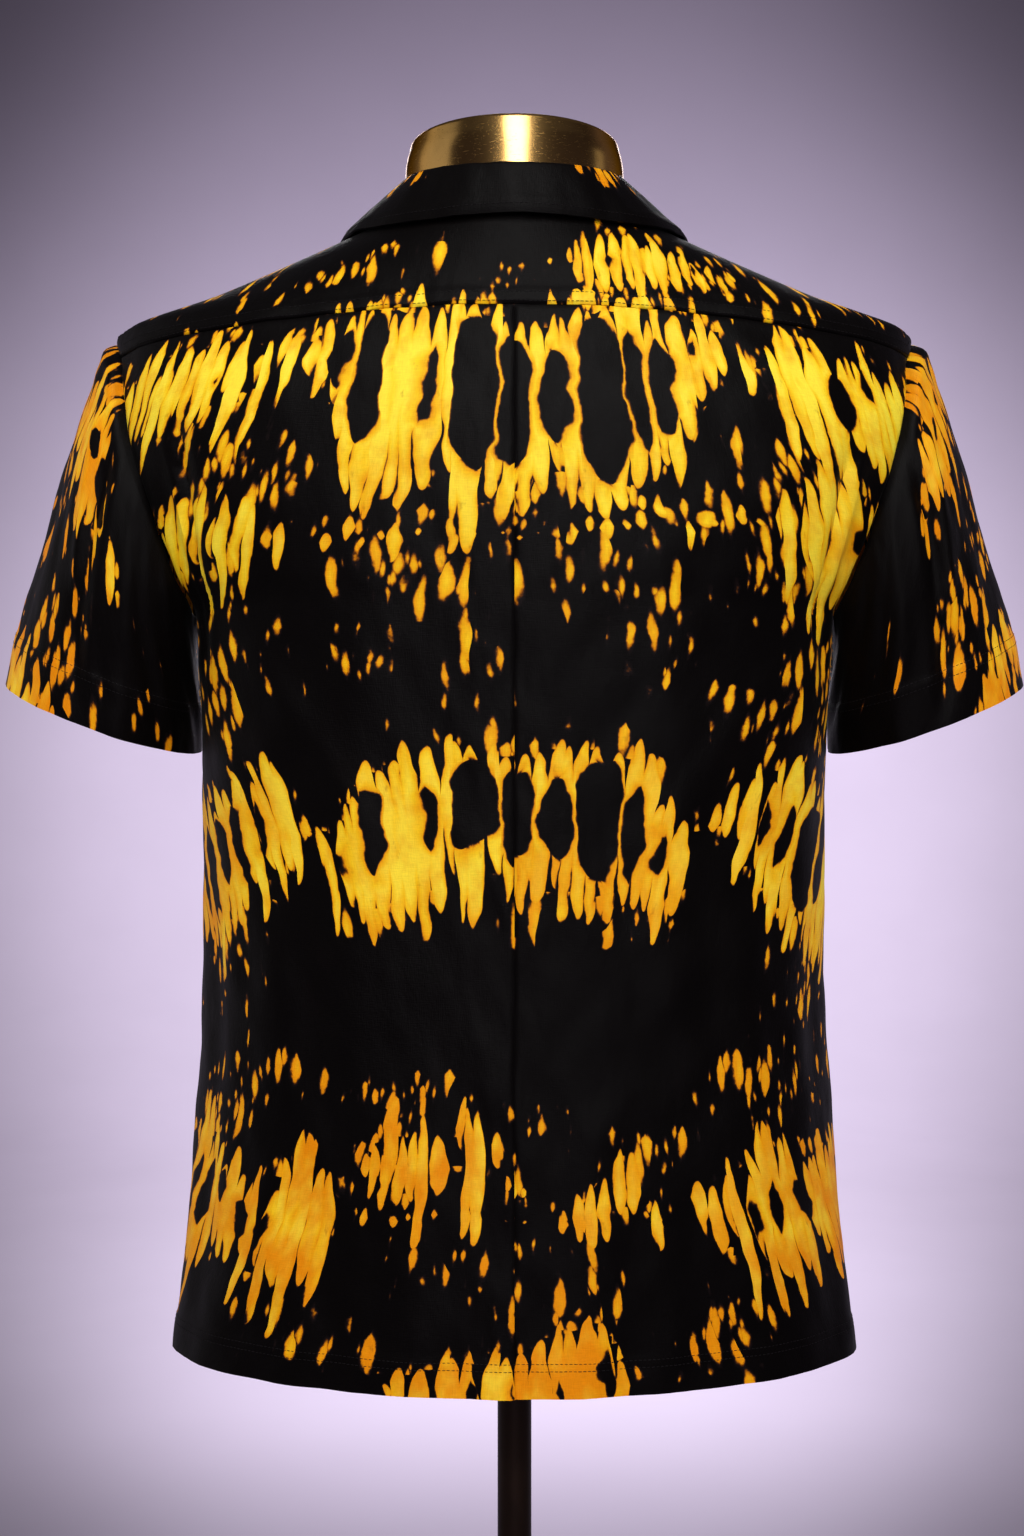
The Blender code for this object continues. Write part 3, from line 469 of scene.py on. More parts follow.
def armhole_top(shares):
    """Over the shoulder: half of the shares lie behind the shoulder point and half before it."""
    shares = np.asarray(shares, float)
    behind = armhole(ARMHOLE_YOKE_BACK, ARMHOLE_TIP, np.clip(2 * shares, 0, 1))
    before = armhole(ARMHOLE_TIP, ARMHOLE_YOKE_FRONT, np.clip(2 * shares - 1, 0, 1))
    return np.where(shares[:, None] <= 0.5, behind, before)


def armhole_front(shares):
    return armhole(ARMHOLE_YOKE_FRONT, len(ARMHOLE), shares)


def ease(t):
    t = np.clip(t, 0.0, 1.0)
    return t * t * (3 - 2 * t)


def blend_steps(count):
    """Shares from 0 to 1, closer together near both ends."""
    even = np.linspace(0.0, 1.0, count + 1)
    return 0.35 * even + 0.65 * (0.5 - 0.5 * np.cos(math.pi * even))


def back_places(rises, shares):
    """Places of the left back. A rise of 0 is the hem, 1 the underarm and 2 the yoke."""
    rises = np.asarray(rises, float)
    ends = armhole_back(np.clip(rises - 1, 0, 1))
    low = rises < 1
    ends[low] = np.stack([np.full(low.sum(), 90.0), HEM + (UNDERARM - HEM) * rises[low]], axis=-1)
    centre = np.where(low, ends[:, 1], UNDERARM + (YOKE_BACK - UNDERARM) * (rises - 1))
    s = np.asarray(shares)[None, :]
    angle = ends[:, :1] * s
    height = centre[:, None] + (ends[:, 1:] - centre[:, None]) * s**3
    return angle, height


def yoke_edge(e):
    """The yoke's outer edge: e is 0 at the centre back, 10 at the armhole and 14 at the front seam."""
    e = np.asarray(e, float)
    angle = YOKE_BACK_END * np.clip(e / 10, 0, 1)
    height = YOKE_BACK - YOKE_BACK_FALL * (angle / YOKE_BACK_END) ** 3
    top = armhole_top(np.clip((e - 10) / 4, 0, 1))
    return np.where(e[:, None] <= 10, np.stack([angle, height], axis=-1), top)


def yoke_places(e, shares):
    """Places of the yoke's left half, one line for each e, from its outer edge to the neckline."""
    outer = yoke_edge(e)
    neck_angle = NECK_SIDE_FRONT * np.asarray(e, float) / 14
    neck_height = read_neckline(neck_angle)[..., 0]
    s = np.asarray(shares)[None, :]
    angle = outer[:, :1] + (neck_angle[:, None] - outer[:, :1]) * s
    height = outer[:, 1:] + (neck_height[:, None] - outer[:, 1:]) * s
    return angle, height


NECK_SIDE_POINT = torso(NECK_SIDE_FRONT, NECKLINE[-1][1])


def break_line_x(height):
    """Half the width of the open neck in the front view."""
    return NECK_SIDE_POINT[0] * (height - COLLAR_BREAK) / (NECK_SIDE_POINT[2] - COLLAR_BREAK)


def front_places(rises, shares):
    """Places of the left front, from the side and armhole to the centre edge and the open neck."""
    rises = np.asarray(rises, float)
    share = np.clip(rises - 1, 0, 1)
    ends = armhole_front(1 - share)
    low = rises < 1
    ends[low] = np.stack([np.full(low.sum(), 90.0), HEM + (UNDERARM - HEM) * rises[low]], axis=-1)
    neck_z = NECKLINE[-1][1]
    below_break = HEM + (COLLAR_BREAK - HEM) * rises
    inner_height = np.where(low, below_break, COLLAR_BREAK + (neck_z - COLLAR_BREAK) * share)
    inner_x = np.where(low, -OVERLAP, np.maximum(break_line_x(inner_height), 0) - OVERLAP * (1 - share) ** 3)
    inner_angle = angle_at_x(inner_x, inner_height)
    s = np.asarray(shares)[None, :]
    angle = ends[:, :1] + (inner_angle[:, None] - ends[:, :1]) * s
    height = ends[:, 1:] + (inner_height[:, None] - ends[:, 1:]) * s * s * (3 - 2 * s)
    _, edge_height = yoke_places(np.array([14.0]), shares)
    towards_yoke = ease((share - 0.6) / 0.4)[:, None]
    straight = ends[:, 1:] + (inner_height[:, None] - ends[:, 1:]) * (
        (edge_height - edge_height[:, :1]) / (edge_height[:, -1:] - edge_height[:, :1])
    )
    return angle, height + (straight - height) * towards_yoke


# How far round the cloth lies from the centre back, and how far up from the hem, for every place of the body
CLOTH_ANGLES = np.linspace(0.0, 180.0, 181)
CLOTH_HEIGHTS = np.linspace(HEM, 1.530, 184)
CLOTH_GRID = torso(CLOTH_ANGLES[None, :], CLOTH_HEIGHTS[:, None])


def run_lengths(points, axis):
    steps = np.linalg.norm(np.diff(points, axis=axis), axis=-1)
    start = np.zeros_like(np.take(steps, [0], axis=axis))
    return np.concatenate([start, np.cumsum(steps, axis=axis)], axis=axis)


CLOTH_ROUND = run_lengths(CLOTH_GRID, 1)
CLOTH_UP = run_lengths(CLOTH_GRID, 0)


def look_up(table, angle, height):
    a = np.clip(angle, 0, 179.999)
    h = np.clip((height - HEM) / (CLOTH_HEIGHTS[1] - HEM), 0, len(CLOTH_HEIGHTS) - 1.001)
    i, j = h.astype(int), a.astype(int)
    p, q = h - i, a - j
    low = table[i, j] * (1 - q) + table[i, j + 1] * q
    high = table[i + 1, j] * (1 - q) + table[i + 1, j + 1] * q
    return low * (1 - p) + high * p


def cloth_place(angle, height):
    """u, v, half of the whole girth and how far u is past the side seam, for places of the body."""
    half = look_up(CLOTH_ROUND, np.full_like(angle, 179.99), height)
    past = angle > 180
    u = look_up(CLOTH_ROUND, np.where(past, 360 - angle, angle), height)
    u = np.where(past, 2 * half - u, u)
    side_seam = look_up(CLOTH_ROUND, np.full_like(angle, 90.0), height)
    return u, look_up(CLOTH_UP, angle, height), half, u - side_seam


def fold_heights(u, v, folds):
    """How far soft folds lift or sink the cloth."""
    total = np.zeros_like(u)
    for u0, v0, u1, v1, bend, half_width, depth, lip in folds:
        along = np.array([u1 - u0, v1 - v0])
        length = np.linalg.norm(along)
        along = along / length
        t = ((u - u0) * along[0] + (v - v0) * along[1]) / length
        inside = np.clip(t, 0, 1)
        side = (u - u0) * along[1] - (v - v0) * along[0] - bend * 4 * inside * (1 - inside)
        fade = ease(t / FOLD_FADE) * ease((1 - t) / FOLD_FADE)
        d = side / half_width
        total += depth * fade * np.exp(-d * d) * (1 + lip * 1.6 * d * np.sign(bend if bend else 1.0))
    return total


def ripples(u, v, seed, wavelength, amplitude):
    """Faint unevenness of worn cloth: a fixed sum of waves in all directions."""
    draw = np.random.default_rng(seed)
    total = np.zeros_like(u)
    for _ in range(14):
        direction = draw.uniform(0, math.pi)
        number = 2 * math.pi / (wavelength * draw.uniform(0.6, 1.8))
        phase = draw.uniform(0, 2 * math.pi)
        total += np.sin((u * math.cos(direction) * 1.6 + v * math.sin(direction) * 0.7) * number + phase)
    return amplitude * total / 14**0.5


def body_lift(u, v, half, from_side, front):
    """Height of the body's folds, for a signed u and how far it is past the side seam."""
    sign = np.where(u < 0, -1.0, 1.0)
    from_centre = np.where(front, half - np.abs(u), np.abs(u)) * sign
    near_side = ease((np.abs(from_side) - 0.006) / 0.03)
    back = fold_heights(from_centre, v, BACK_FOLDS)
    ahead = fold_heights(from_centre, v, FRONT_FOLDS)
    lift = np.where(front, ahead, back) * near_side
    lift += fold_heights(from_side, v, SIDE_FOLDS) * (0.9 + 0.2 * sign)
    lift += sum(ripples(u, v, *waves) for waves in BODY_RIPPLES)
    waves = np.sin(from_centre * HEM_WAVE_NUMBER + 1.3 * sign)
    lift += HEM_WAVE * waves * ease((HEM_WAVE_REACH - v) / HEM_WAVE_REACH)
    return lift


def worn_lift(place, side, front, height, settings):
    """The body's folds at a place of the cloth, fading towards the shoulders."""
    u, v, half, from_side = place
    lift = body_lift(u * side, v, half, from_side, front) * settings.fold_depth
    return lift * (1 - FADE_SHARE * ease((height - FADE_HEIGHT) / FADE_RUN))


def squeeze(distance):
    """Keeps a distance in reach of the fringes, and sends one that is out of reach well away."""
    far = np.where(distance < -0.05, -0.05 + 6 * (distance + 0.05), distance)
    return np.clip(far, -0.5, 0.06)


def with_clouds(drops, u, v, clouds):
    """How thick the drops lie, where clouds of them may lie thicker."""
    for cu, cv, ru, rv, thickness in clouds:
        drops = np.maximum(drops, thickness * np.exp(-(((u - cu) / ru) ** 2) - ((v - cv) / rv) ** 2))
    return drops


def pattern_fields(u, v, layers, clouds):
    """Two layers of (below the top, above the bottom, window), and (drops, fringe, how far the gold turns
    redder and darker), on the cloth. The last is partly the dye and partly painted shade, greatest low down
    and on the sleeves.
    """
    found = []
    best = np.full_like(u, -1.0)
    fringe = np.full_like(u, 0.02)
    for bands in layers:
        below_top, above_bottom = np.full_like(u, -0.5), np.full_like(u, -0.5)
        window = np.zeros_like(u)
        score, second = np.full_like(u, -1.0), np.full_like(u, -1.0)
        for length, rows in bands:
            top, bottom, opening = np.moveaxis(cubic_table(rows)(u), -1, 0)
            beyond = np.maximum(np.maximum(rows[0][0] - u, u - rows[-1][0]), 0)
            down, up = top - v - beyond, v - bottom - beyond
            inside = np.minimum(down, up)
            nearer = inside > score
            second = np.where(nearer, score, np.maximum(second, inside))
            below_top, above_bottom = np.where(nearer, down, below_top), np.where(nearer, up, above_bottom)
            window, score = np.where(nearer, opening, window), np.maximum(score, inside)
            fringe = np.where(inside > best, length, fringe)
            best = np.maximum(best, inside)
        between = 0.07 * ease(1 - (score - second) / 0.022) * ease(0.5 - score / 0.012)
        below_top, above_bottom = squeeze(below_top) - between, squeeze(above_bottom) - between
        found.append(np.stack([below_top, above_bottom, window], axis=-1))
    drops = with_clouds(0.62 * np.exp(-((np.minimum(best, 0) / 0.020) ** 2)) * (best < 0), u, v, clouds)
    # Painted shade together with the dye's redness: the gold turns redder and darker the lower it lies, and
    # most on the sleeves
    redder_dye_and_painted_shade = np.clip(1.0 - 1.55 * v + 0.22 * np.sin(19 * u + 3) * np.cos(17 * v + 1), 0, 1)
    found.append(np.stack([drops, fringe, redder_dye_and_painted_shade], axis=-1))
    return found


def fan(u, v):
    """The weft place with the pattern's spread: the dye's streaks lean outwards here and inwards there."""
    return u * (1 + 0.17 * np.sin((v - 0.60) * 2 * math.pi / 0.52))


def edge_distances(points):
    """How far each point of a grid is from its first and last row and its first and last column."""
    down, across = run_lengths(points, 0), run_lengths(points, 1)
    return down, down[-1:] - down, across, across[:, -1:] - across


def put_in_scene(name, data):
    thing = bpy.data.objects.new(name, data)
    bpy.context.scene.collection.objects.link(thing)
    return thing


def set_piece(thing, node=None):
    """Hides the CAD solid that a finished piece takes the place of, when one is named, and hangs the piece on
    the root. No piece moves.
    """
    if node:
        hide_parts(node)
    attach(thing, "root")


def smooth(mesh, sharp):
    """Rounds a mesh's shading over all edges but those sharper than an angle in degrees."""
    mesh.shade_smooth()
    mesh.set_sharp_from_angle(angle=math.radians(sharp))


def cloth_wall(name, outer, normals, cloth_uv, fields, thickness, closed):
    """A closed wall of cloth from a grid of outer points, with cloth coordinates and pattern fields."""
    rows, columns = outer.shape[:2]
    inner = outer - normals * thickness
    vertices = np.concatenate([outer.reshape(-1, 3), inner.reshape(-1, 3)])
    index = np.arange(rows * columns).reshape(rows, columns)
    under = index + rows * columns
    a, b, c, d = index[:-1, :-1], index[:-1, 1:], index[1:, 1:], index[1:, :-1]
    first = np.cross(outer[1, 0] - outer[0, 0], outer[0, 1] - outer[0, 0])
    turned = np.dot(first, normals[0, 0]) > 0
    one_way = np.stack([a, d, c, b], axis=-1).reshape(-1, 4)
    other_way = np.stack([a, b, c, d], axis=-1).reshape(-1, 4)
    top, below = (one_way, other_way) if turned else (other_way, one_way)
    rims = []
    sides = [(index[0], under[0], not turned), (index[-1], under[-1], turned)]
    if not closed:
        sides += [(index[:, 0], under[:, 0], turned), (index[:, -1], under[:, -1], not turned)]
    for upper, lower, flip in sides:
        quads = np.stack([upper[:-1], upper[1:], lower[1:], lower[:-1]], axis=-1)
        rims.append(quads[:, ::-1] if flip else quads)
    faces = np.concatenate([top, below + rows * columns, *rims])
    mesh = bpy.data.meshes.new(name)
    mesh.from_pydata([tuple(p) for p in vertices], [], [tuple(int(k) for k in face) for face in faces])
    mesh.validate()
    mesh.materials.append(bpy.data.materials["batik_cotton"])
    thing = put_in_scene(name, mesh)
    layer = mesh.uv_layers.new(name="cloth")
    loops = np.empty(len(mesh.loops), np.int32)
    mesh.loops.foreach_get("vertex_index", loops)
    flat_uv = np.concatenate([cloth_uv.reshape(-1, 2)] * 2)
    layer.data.foreach_set("uv", flat_uv[loops].astype(np.float32).ravel())
    for field_name, field in zip(("band_1", "band_2", "drops"), fields):
        attribute = mesh.attributes.new(field_name, "FLOAT_VECTOR", "POINT")
        values = np.concatenate([field.reshape(-1, 3)] * 2)
        attribute.data.foreach_set("vector", values.astype(np.float32).ravel())
    bm = bmesh.new()
    bm.from_mesh(mesh)
    if closed:
        bmesh.ops.remove_doubles(bm, verts=bm.verts, dist=1e-6)
    bm.to_mesh(mesh)
    bm.free()
    smooth(mesh, 50.0)
    return thing


# The outer points and directions of every piece of cloth, for the stitches that lie on it
GRIDS = {}


def grid_area(points):
    one = np.cross(points[1:, :-1] - points[:-1, :-1], points[:-1, 1:] - points[:-1, :-1])
    two = np.cross(points[:-1, 1:] - points[1:, 1:], points[1:, :-1] - points[1:, 1:])
    return float(0.5 * (np.linalg.norm(one, axis=-1).sum() + np.linalg.norm(two, axis=-1).sum()))


def up_to_5_mm(length):
    return math.ceil(length / 0.005) * 0.005


def flat_size(points):
    """The cut of a sheet: its widest row and longest column to 5 mm, and its area."""
    down, _, across, _ = edge_distances(points)
    return (up_to_5_mm(across[:, -1].max()), up_to_5_mm(down[-1].max())), round(grid_area(points), 4)


def cloth_piece(
    name, outer, normals, cloth_uv, fields, settings, cut=None, closed=False
):
    """One cut piece of the shirt: its wall in the CAD solid's place and the stitches' grid. Its cut's size and
    area are worked out but not kept.
    """
    GRIDS[name] = (outer, normals)
    thing = cloth_wall(name + "_cloth", outer, normals, cloth_uv, fields, settings.cloth_thickness, closed)
    set_piece(thing, name)
    flat, area = cut or flat_size(outer)
    min(area, flat[0] * flat[1])


def roll_seams(points, edges):
    """How far the cloth rolls in at the edges that are sewn: any of top, bottom, first and last."""
    near = dict(zip(("bottom", "top", "first", "last"), edge_distances(points)))
    roll = np.zeros(points.shape[:2])
    for edge in edges:
        roll = np.maximum(roll, np.clip(1 - near[edge] / SEAM_ROLL_WIDTH, 0, 1) ** 2)
    return -SEAM_ROLL * roll


def body_panel(name, side, angle, height, front, seams, shift, settings, step=0.0):
    """One panel on the torso surface, for the wearer's left or right side, with its folds and hem."""
    base, normal = torso(angle, height), torso_normal(angle, height)
    place = cloth_place(angle, height)
    u, v, half, _ = place
    lift = worn_lift(place, side, front, height, settings)
    lift += roll_seams(base, seams)
    lift += HEM_THICKENING * ease((HEM_FOLD - v) / 0.002)
    for row in HEM_ROWS:
        lift -= ROW_SINK * np.exp(-(((v - row) / ROW_SINK_WIDTH) ** 2))
    if step:
        lapped = ease((OVERLAP + OVERLAP_BLEND - base[..., 0]) / OVERLAP_BLEND)
        lift -= step * lapped * (height < COLLAR_BREAK + 0.08)
    outer = base + normal * lift[..., None]
    if front:
        u, v = (half - u) * side * -1 + 0.035, v + 0.012
    else:
        u = u * side + (0.007 if side < 0 else 0.0)
    u, v = u + shift[0], v + shift[1]
    fields = pattern_fields(u, v, BACK_BANDS, BACK_CLOUDS)
    places = np.stack([fan(u, v) + shift[2], v], axis=-1)
    cloth_piece(name, outer * (side, 1, 1), normal * (side, 1, 1), places, fields, settings)


def body_rises():
    low = np.linspace(0.0, 1.0, 105)
    hem = np.array([0.0012, 0.0025, 0.0080, 0.0105, 0.0130, 0.0170]) / (UNDERARM - HEM)
    high = 1 + blend_steps(44)[1:]
    return np.unique(np.concatenate([low, hem, high]).round(6))


def make_backs(settings):
    angle, height = back_places(body_rises(), blend_steps(68))
    for name, side, shift in (("back_left", 1, (0.0, 0.0, 0.0)), ("back_right", -1, (0.0, 0.004, 0.31))):
        body_panel(name, side, angle, height, False, ("top", "first", "last"), shift, settings)


def make_fronts(settings):
    angle, height = front_places(body_rises(), blend_steps(64))
    for name, side, shift, step in (
        ("front_left", 1, (0.0, 0.0, 0.77), 0.0),
        ("front_right", -1, (0.012, -0.006, 1.13), OVERLAP_STEP),
    ):
        body_panel(name, side, angle, height, True, ("top", "first"), shift, settings, step)


def make_yoke(settings):
    """Over both shoulders in one piece."""
    e = np.unique(np.concatenate([np.linspace(0, 10, 76), 10 + 4 * blend_steps(26)]).round(6))
    angle, height = (np.concatenate([left[:0:-1], left]) for left in yoke_places(e, blend_steps(34)))
    side = np.concatenate([-np.ones(len(e) - 1), np.ones(len(e))])[:, None]
    base, normal = torso(angle, height), torso_normal(angle, height)
    u, v, half, from_side = cloth_place(angle, height)
    steps = np.linalg.norm(np.diff(base, axis=1)[..., 1:], axis=-1)
    along = np.concatenate([np.zeros_like(v[:, :1]), np.cumsum(steps, axis=1)], axis=1)
    u, v = u * side, v[:, :1] + along
    lift = body_lift(u, v, half, from_side, angle > 90) * settings.fold_depth
    lift *= np.clip(1 - along / YOKE_FOLD_REACH, 0, 1)
    lift += roll_seams(base, ("first", "last", "bottom", "top"))
    across = run_lengths(base, 1)
    ridge = YOKE_RIDGE * ease(across / 0.002) * ease((YOKE_RIDGE_WIDTH - across) / 0.003)
    from_neck = across[:, -1:] - across
    lift = lift + ridge - YOKE_NECK_ROLL * ease(1 - from_neck / YOKE_NECK_ROLL_WIDTH)
    outer = base + normal * lift[..., None]
    outer[..., 2] += SEAM_GAP * ease(1 - along / 0.004)
    mirror = np.stack([side, np.ones_like(side), np.ones_like(side)], axis=-1)
    fields = pattern_fields(u, v, BACK_BANDS, BACK_CLOUDS)
    places = np.stack([fan(u, v) + 0.53, v], axis=-1)
    cloth_piece("yoke", outer * mirror, normal * mirror, places, fields, settings)


def sleeve_grid(rows):
    """The left sleeve: its points and directions, and the armhole's places and directions."""
    back = armhole_back(np.linspace(0, 1, SLEEVE_COLUMNS + 1)[:-1])
    top = armhole_top(np.linspace(0, 1, SLEEVE_COLUMNS // 2 + 1)[:-1])
    front = armhole_front(np.linspace(0, 1, SLEEVE_COLUMNS + 1))
    places = np.concatenate([back, top, front])
    ring = torso(places[:, 0], places[:, 1])
    body_side = torso_normal(places[:, 0], places[:, 1])
    lengths = run_lengths(ring, 0)
    to_tip = lengths[SLEEVE_TIP_COLUMN]
    turn = np.where(
        lengths <= to_tip,
        math.pi * lengths / to_tip,
        math.pi + math.pi * (lengths - to_tip) / (lengths[-1] - to_tip),
    )
    high = (0.5 * (1 - np.cos(turn)))[:, None]
    cosine, sine = np.cos(turn)[:, None], np.sin(turn)[:, None]
    end = CUFF_CENTRE - CUFF_ACROSS * cosine + CUFF_BACKWARD * sine
    pull = UNDERARM_PULL * (1 - high) + SHOULDER_PULL * high
    pull[:, 1] += SLEEVE_FULLNESS * sine[:, 0]
    cuff_pull = CUFF_PULL_INSIDE * (1 - high) + CUFF_PULL_OUTSIDE * high
    round_hole = np.gradient(ring, axis=0)
    round_hole[0] = round_hole[-1] = ring[1] - ring[-2]
    into_hole = unit(np.cross(body_side, round_hole))
    middle = ring[:-1].mean(axis=0)
    into_hole *= np.sign((into_hole * (middle - ring)).sum(axis=-1, keepdims=True))
    low = (1 - high) ** 3
    start = ring + unit(into_hole * (1 - low) + body_side * low) * (SEAM_GAP + SEAM_ROOM * low)
    points = hermite(start, pull, end, cuff_pull, rows[:, None, None])
    across = np.gradient(points, axis=1)
    across[:, 0] = across[:, -1] = points[:, 1] - points[:, -2]
    normals = unit(np.cross(across, np.gradient(points, axis=0)))
    outward = points - points[:, :-1].mean(axis=1)[:, None]
    if (normals * outward).sum() < 0:
        normals = -normals
    seam = np.clip(0.5 + 2 * (normals[0] * body_side).sum(axis=-1, keepdims=True), 0, 1)
    normals[0] = unit(normals[0] * (1 - seam) + body_side * seam)
    return points, normals, places, body_side


def make_sleeves(settings):
    """Each sleeve hangs from its armhole, full at the shoulder, with a deep hem."""
    hem_rows = 1 - np.array([0.004, 0.010, 0.160, 0.172, 0.184])
    rows = np.unique(np.concatenate([np.linspace(0, 1, 58), hem_rows]).round(6))
    points, normals, places, body_side = sleeve_grid(rows)
    angle, height = places.T
    down, round_u = run_lengths(points, 0), run_lengths(points, 1)
    u, v = round_u[:, [SLEEVE_TIP_COLUMN]] - round_u, -down
    for name, side, shift in (("sleeve_left", 1, (0.0, 0.0, 2.1)), ("sleeve_right", -1, (0.012, -0.008, 2.9))):
        lift = fold_heights(u + 0.004 * side, v, SLEEVE_FOLDS) * settings.fold_depth
        lift += sum(ripples(u * side, v, *waves) for waves in SLEEVE_RIPPLES)
        lift *= ease(down / 0.018)
        at_seam = worn_lift(cloth_place(angle, height), side, angle > 90, height, settings)
        first = body_side[None] * (at_seam[None, :, None] * ease(1 - down / 0.030)[..., None])
        lift -= SEAM_ROLL * np.clip(1 - down / SEAM_ROLL_WIDTH, 0, 1) ** 2
        for fullness, greatest, reach, starts, run in SLEEVE_HEAD:
            lift += fullness * np.exp(-(((down - greatest) / reach) ** 2)) * ease((height - starts) / run)
        hollow = np.exp(-(((down - SLEEVE_HOLLOW_DOWN) / SLEEVE_HOLLOW_REACH[0]) ** 2))
        lift -= SLEEVE_HOLLOW * hollow * np.exp(-((u / SLEEVE_HOLLOW_REACH[1]) ** 2))
        lift += HEM_THICKENING * ease((SLEEVE_HEM_FOLD - (down[-1:] - down)) / 0.003)
        outer, direction = points + normals * lift[..., None] + first, normals.copy()
        for grid in (outer, direction):
            grid[:, -1] = grid[:, 0]
        pu, pv = u + shift[0], v + shift[1]
        fields = pattern_fields(pu, pv, SLEEVE_BANDS, SLEEVE_CLOUDS)
        cloth_uv = np.stack([pu * side + shift[2], pv + 0.2], axis=-1)
        outer, direction = outer * (side, 1, 1), direction * (side, 1, 1)
        size = (up_to_5_mm(round_u[:, -1:].max()), up_to_5_mm(down[-1].max()))
        cut = (size, round(grid_area(outer), 4))
        cloth_piece(name, outer, direction, cloth_uv, fields, settings, cut, closed=True)


def collar_lines():
    """The middle of the collar's cloth: a line across its width for each step round the neck."""
    half = []
    mirrored = [(-row[0], row[1], -row[2], row[3], row[4], -row[5], row[6], row[7]) for row in COLLAR[:0:-1]]
    stations = spline([*mirrored, *COLLAR], False, 12)
    for row in stations[len(stations) // 2 :]:
        seam_angle, seam_height, x, y, z, edge_angle, edge_height, lift = row
        if seam_angle <= NECK_SIDE_FRONT:
            seam_height = float(read_neckline(seam_angle)[0]) + COLLAR_SEAM_GAP
        front_share = max(0.0, (seam_angle - NECK_SIDE_FRONT) / (COLLAR[-1][0] - NECK_SIDE_FRONT))
        seam_normal = torso_normal(seam_angle, seam_height)
        seam = torso(seam_angle, seam_height) + seam_normal * COLLAR_SEAM_LIFT * min(1.0, 3 * front_share)
        if front_share == 0.0:
            seam = seam - seam_normal * COLLAR_SEAM_SINK
        edge = torso(edge_angle, edge_height) + torso_normal(edge_angle, edge_height) * lift
        outward = np.array([math.sin(math.radians(edge_angle)), math.cos(math.radians(edge_angle)), 0.0])
        fold = np.array([x, y, z])
        up = unit(fold - seam)
        out = unit(outward - up * outward.dot(up))
        inner = fold - out * COLLAR_FOLD_RADIUS - up * COLLAR_FOLD_RADIUS
        outer = fold + out * COLLAR_FOLD_RADIUS - up * COLLAR_FOLD_RADIUS
        line = [seam, seam * 0.5 + inner * 0.5, inner, fold, outer]
        for share in (0.35, 0.7):
            line.append(outer + (edge - outer) * share + out * COLLAR_BOW * math.sin(math.pi * share))
        half.append(spline(line + [edge], False, 6))
    half = np.array(half)
    return np.concatenate([half[:0:-1] * (-1, 1, 1), half])


def make_collar(settings):
    """A camp collar, stand and fall in one, round the back of the neck and down to the lapels."""
    points = collar_lines()
    normals = unit(np.cross(np.gradient(points, axis=0), np.gradient(points, axis=1)))
    edge_out = points[:, -1] * (1, 1, 0) + (0, 0, 0.02)
    normals *= np.sign((normals[:, -1] * edge_out).sum(axis=-1))[:, None, None]
    across = run_lengths(points, 1)
    from_edge = across[:, -1:] - across
    around = run_lengths(points, 0)[:, -1:]
    u = (around - around[-1] / 2) * np.ones_like(across)
    fall = ease((COLLAR_FALL_STARTS - from_edge) / COLLAR_FALL_RUN)
    swell, swell_place, swell_reach = COLLAR_SWELL
    lift = ripples(u, across, *COLLAR_RIPPLES) * fall
    lift += swell * np.exp(-(((from_edge - swell_place) / swell_reach) ** 2)) * fall
    lift -= COLLAR_EDGE_ROLL * ease(1 - from_edge / COLLAR_EDGE_ROLL_WIDTH)
    outer = points + normals * (COLLAR_HALF_CLOTH + lift)[..., None]
    fields = pattern_fields(u, from_edge - OUT_OF_BANDS, BACK_BANDS, ())
    fields[2][..., 0] = with_clouds(np.zeros_like(u), u, from_edge, COLLAR_CLOUDS)
    places = np.stack([u + 3.7, from_edge], axis=-1)
    cut = flat_size(np.swapaxes(outer, 0, 1))
    cloth_piece("collar", outer, normals, places, fields, settings, cut)


def make_lapels(settings):
    """The turned-out top corners of the fronts, lying on them under the collar's ends."""
    shares = blend_steps(26)[:, None]
    t = blend_steps(20)[None, :]
    inner_z = LAPEL_TOP + (LAPEL_BOTTOM - LAPEL_TOP) * shares
    outer_x = LAPEL_TIP_X + (break_line_x(LAPEL_BOTTOM) + 0.004 - LAPEL_TIP_X) * shares
    outer_x = outer_x + LAPEL_BELLY * np.sin(math.pi * shares)
    outer_z = LAPEL_TIP_Z + (LAPEL_BOTTOM - 0.004 - LAPEL_TIP_Z) * shares
    height = inner_z + (outer_z - inner_z) * t
    inner_x = break_line_x(inner_z)
    angle = angle_at_x(inner_x + (outer_x - inner_x) * t, height)
    base, normal = torso(angle, height), torso_normal(angle, height)
    place = cloth_place(angle, height)
    _, _, first, last = edge_distances(base)
    for name, side, front in (("lapel_left", 1, "front_left_cloth"), ("lapel_right", -1, "front_right_cloth")):
        lift = worn_lift(place, side, True, height, settings)
        lift = lift + LAY_GAP + LAPEL_LIFT + LAPEL_LIFT * np.exp(-((first / LAPEL_FOLD_REACH) ** 2))
        lift = lift - LAPEL_EDGE_ROLL * ease(1 - last / LAPEL_EDGE_ROLL_WIDTH)
        outer = (base + normal * lift[..., None]) * (side, 1, 1)
        u, v = place[0] * side + 0.2, place[1] + 0.05
        fields = pattern_fields(u, v, BACK_BANDS, BACK_CLOUDS)
        places = np.stack([u + 4.4, v], axis=-1)
        cloth_piece(name, outer, normal * (side, 1, 1), places, fields, settings)


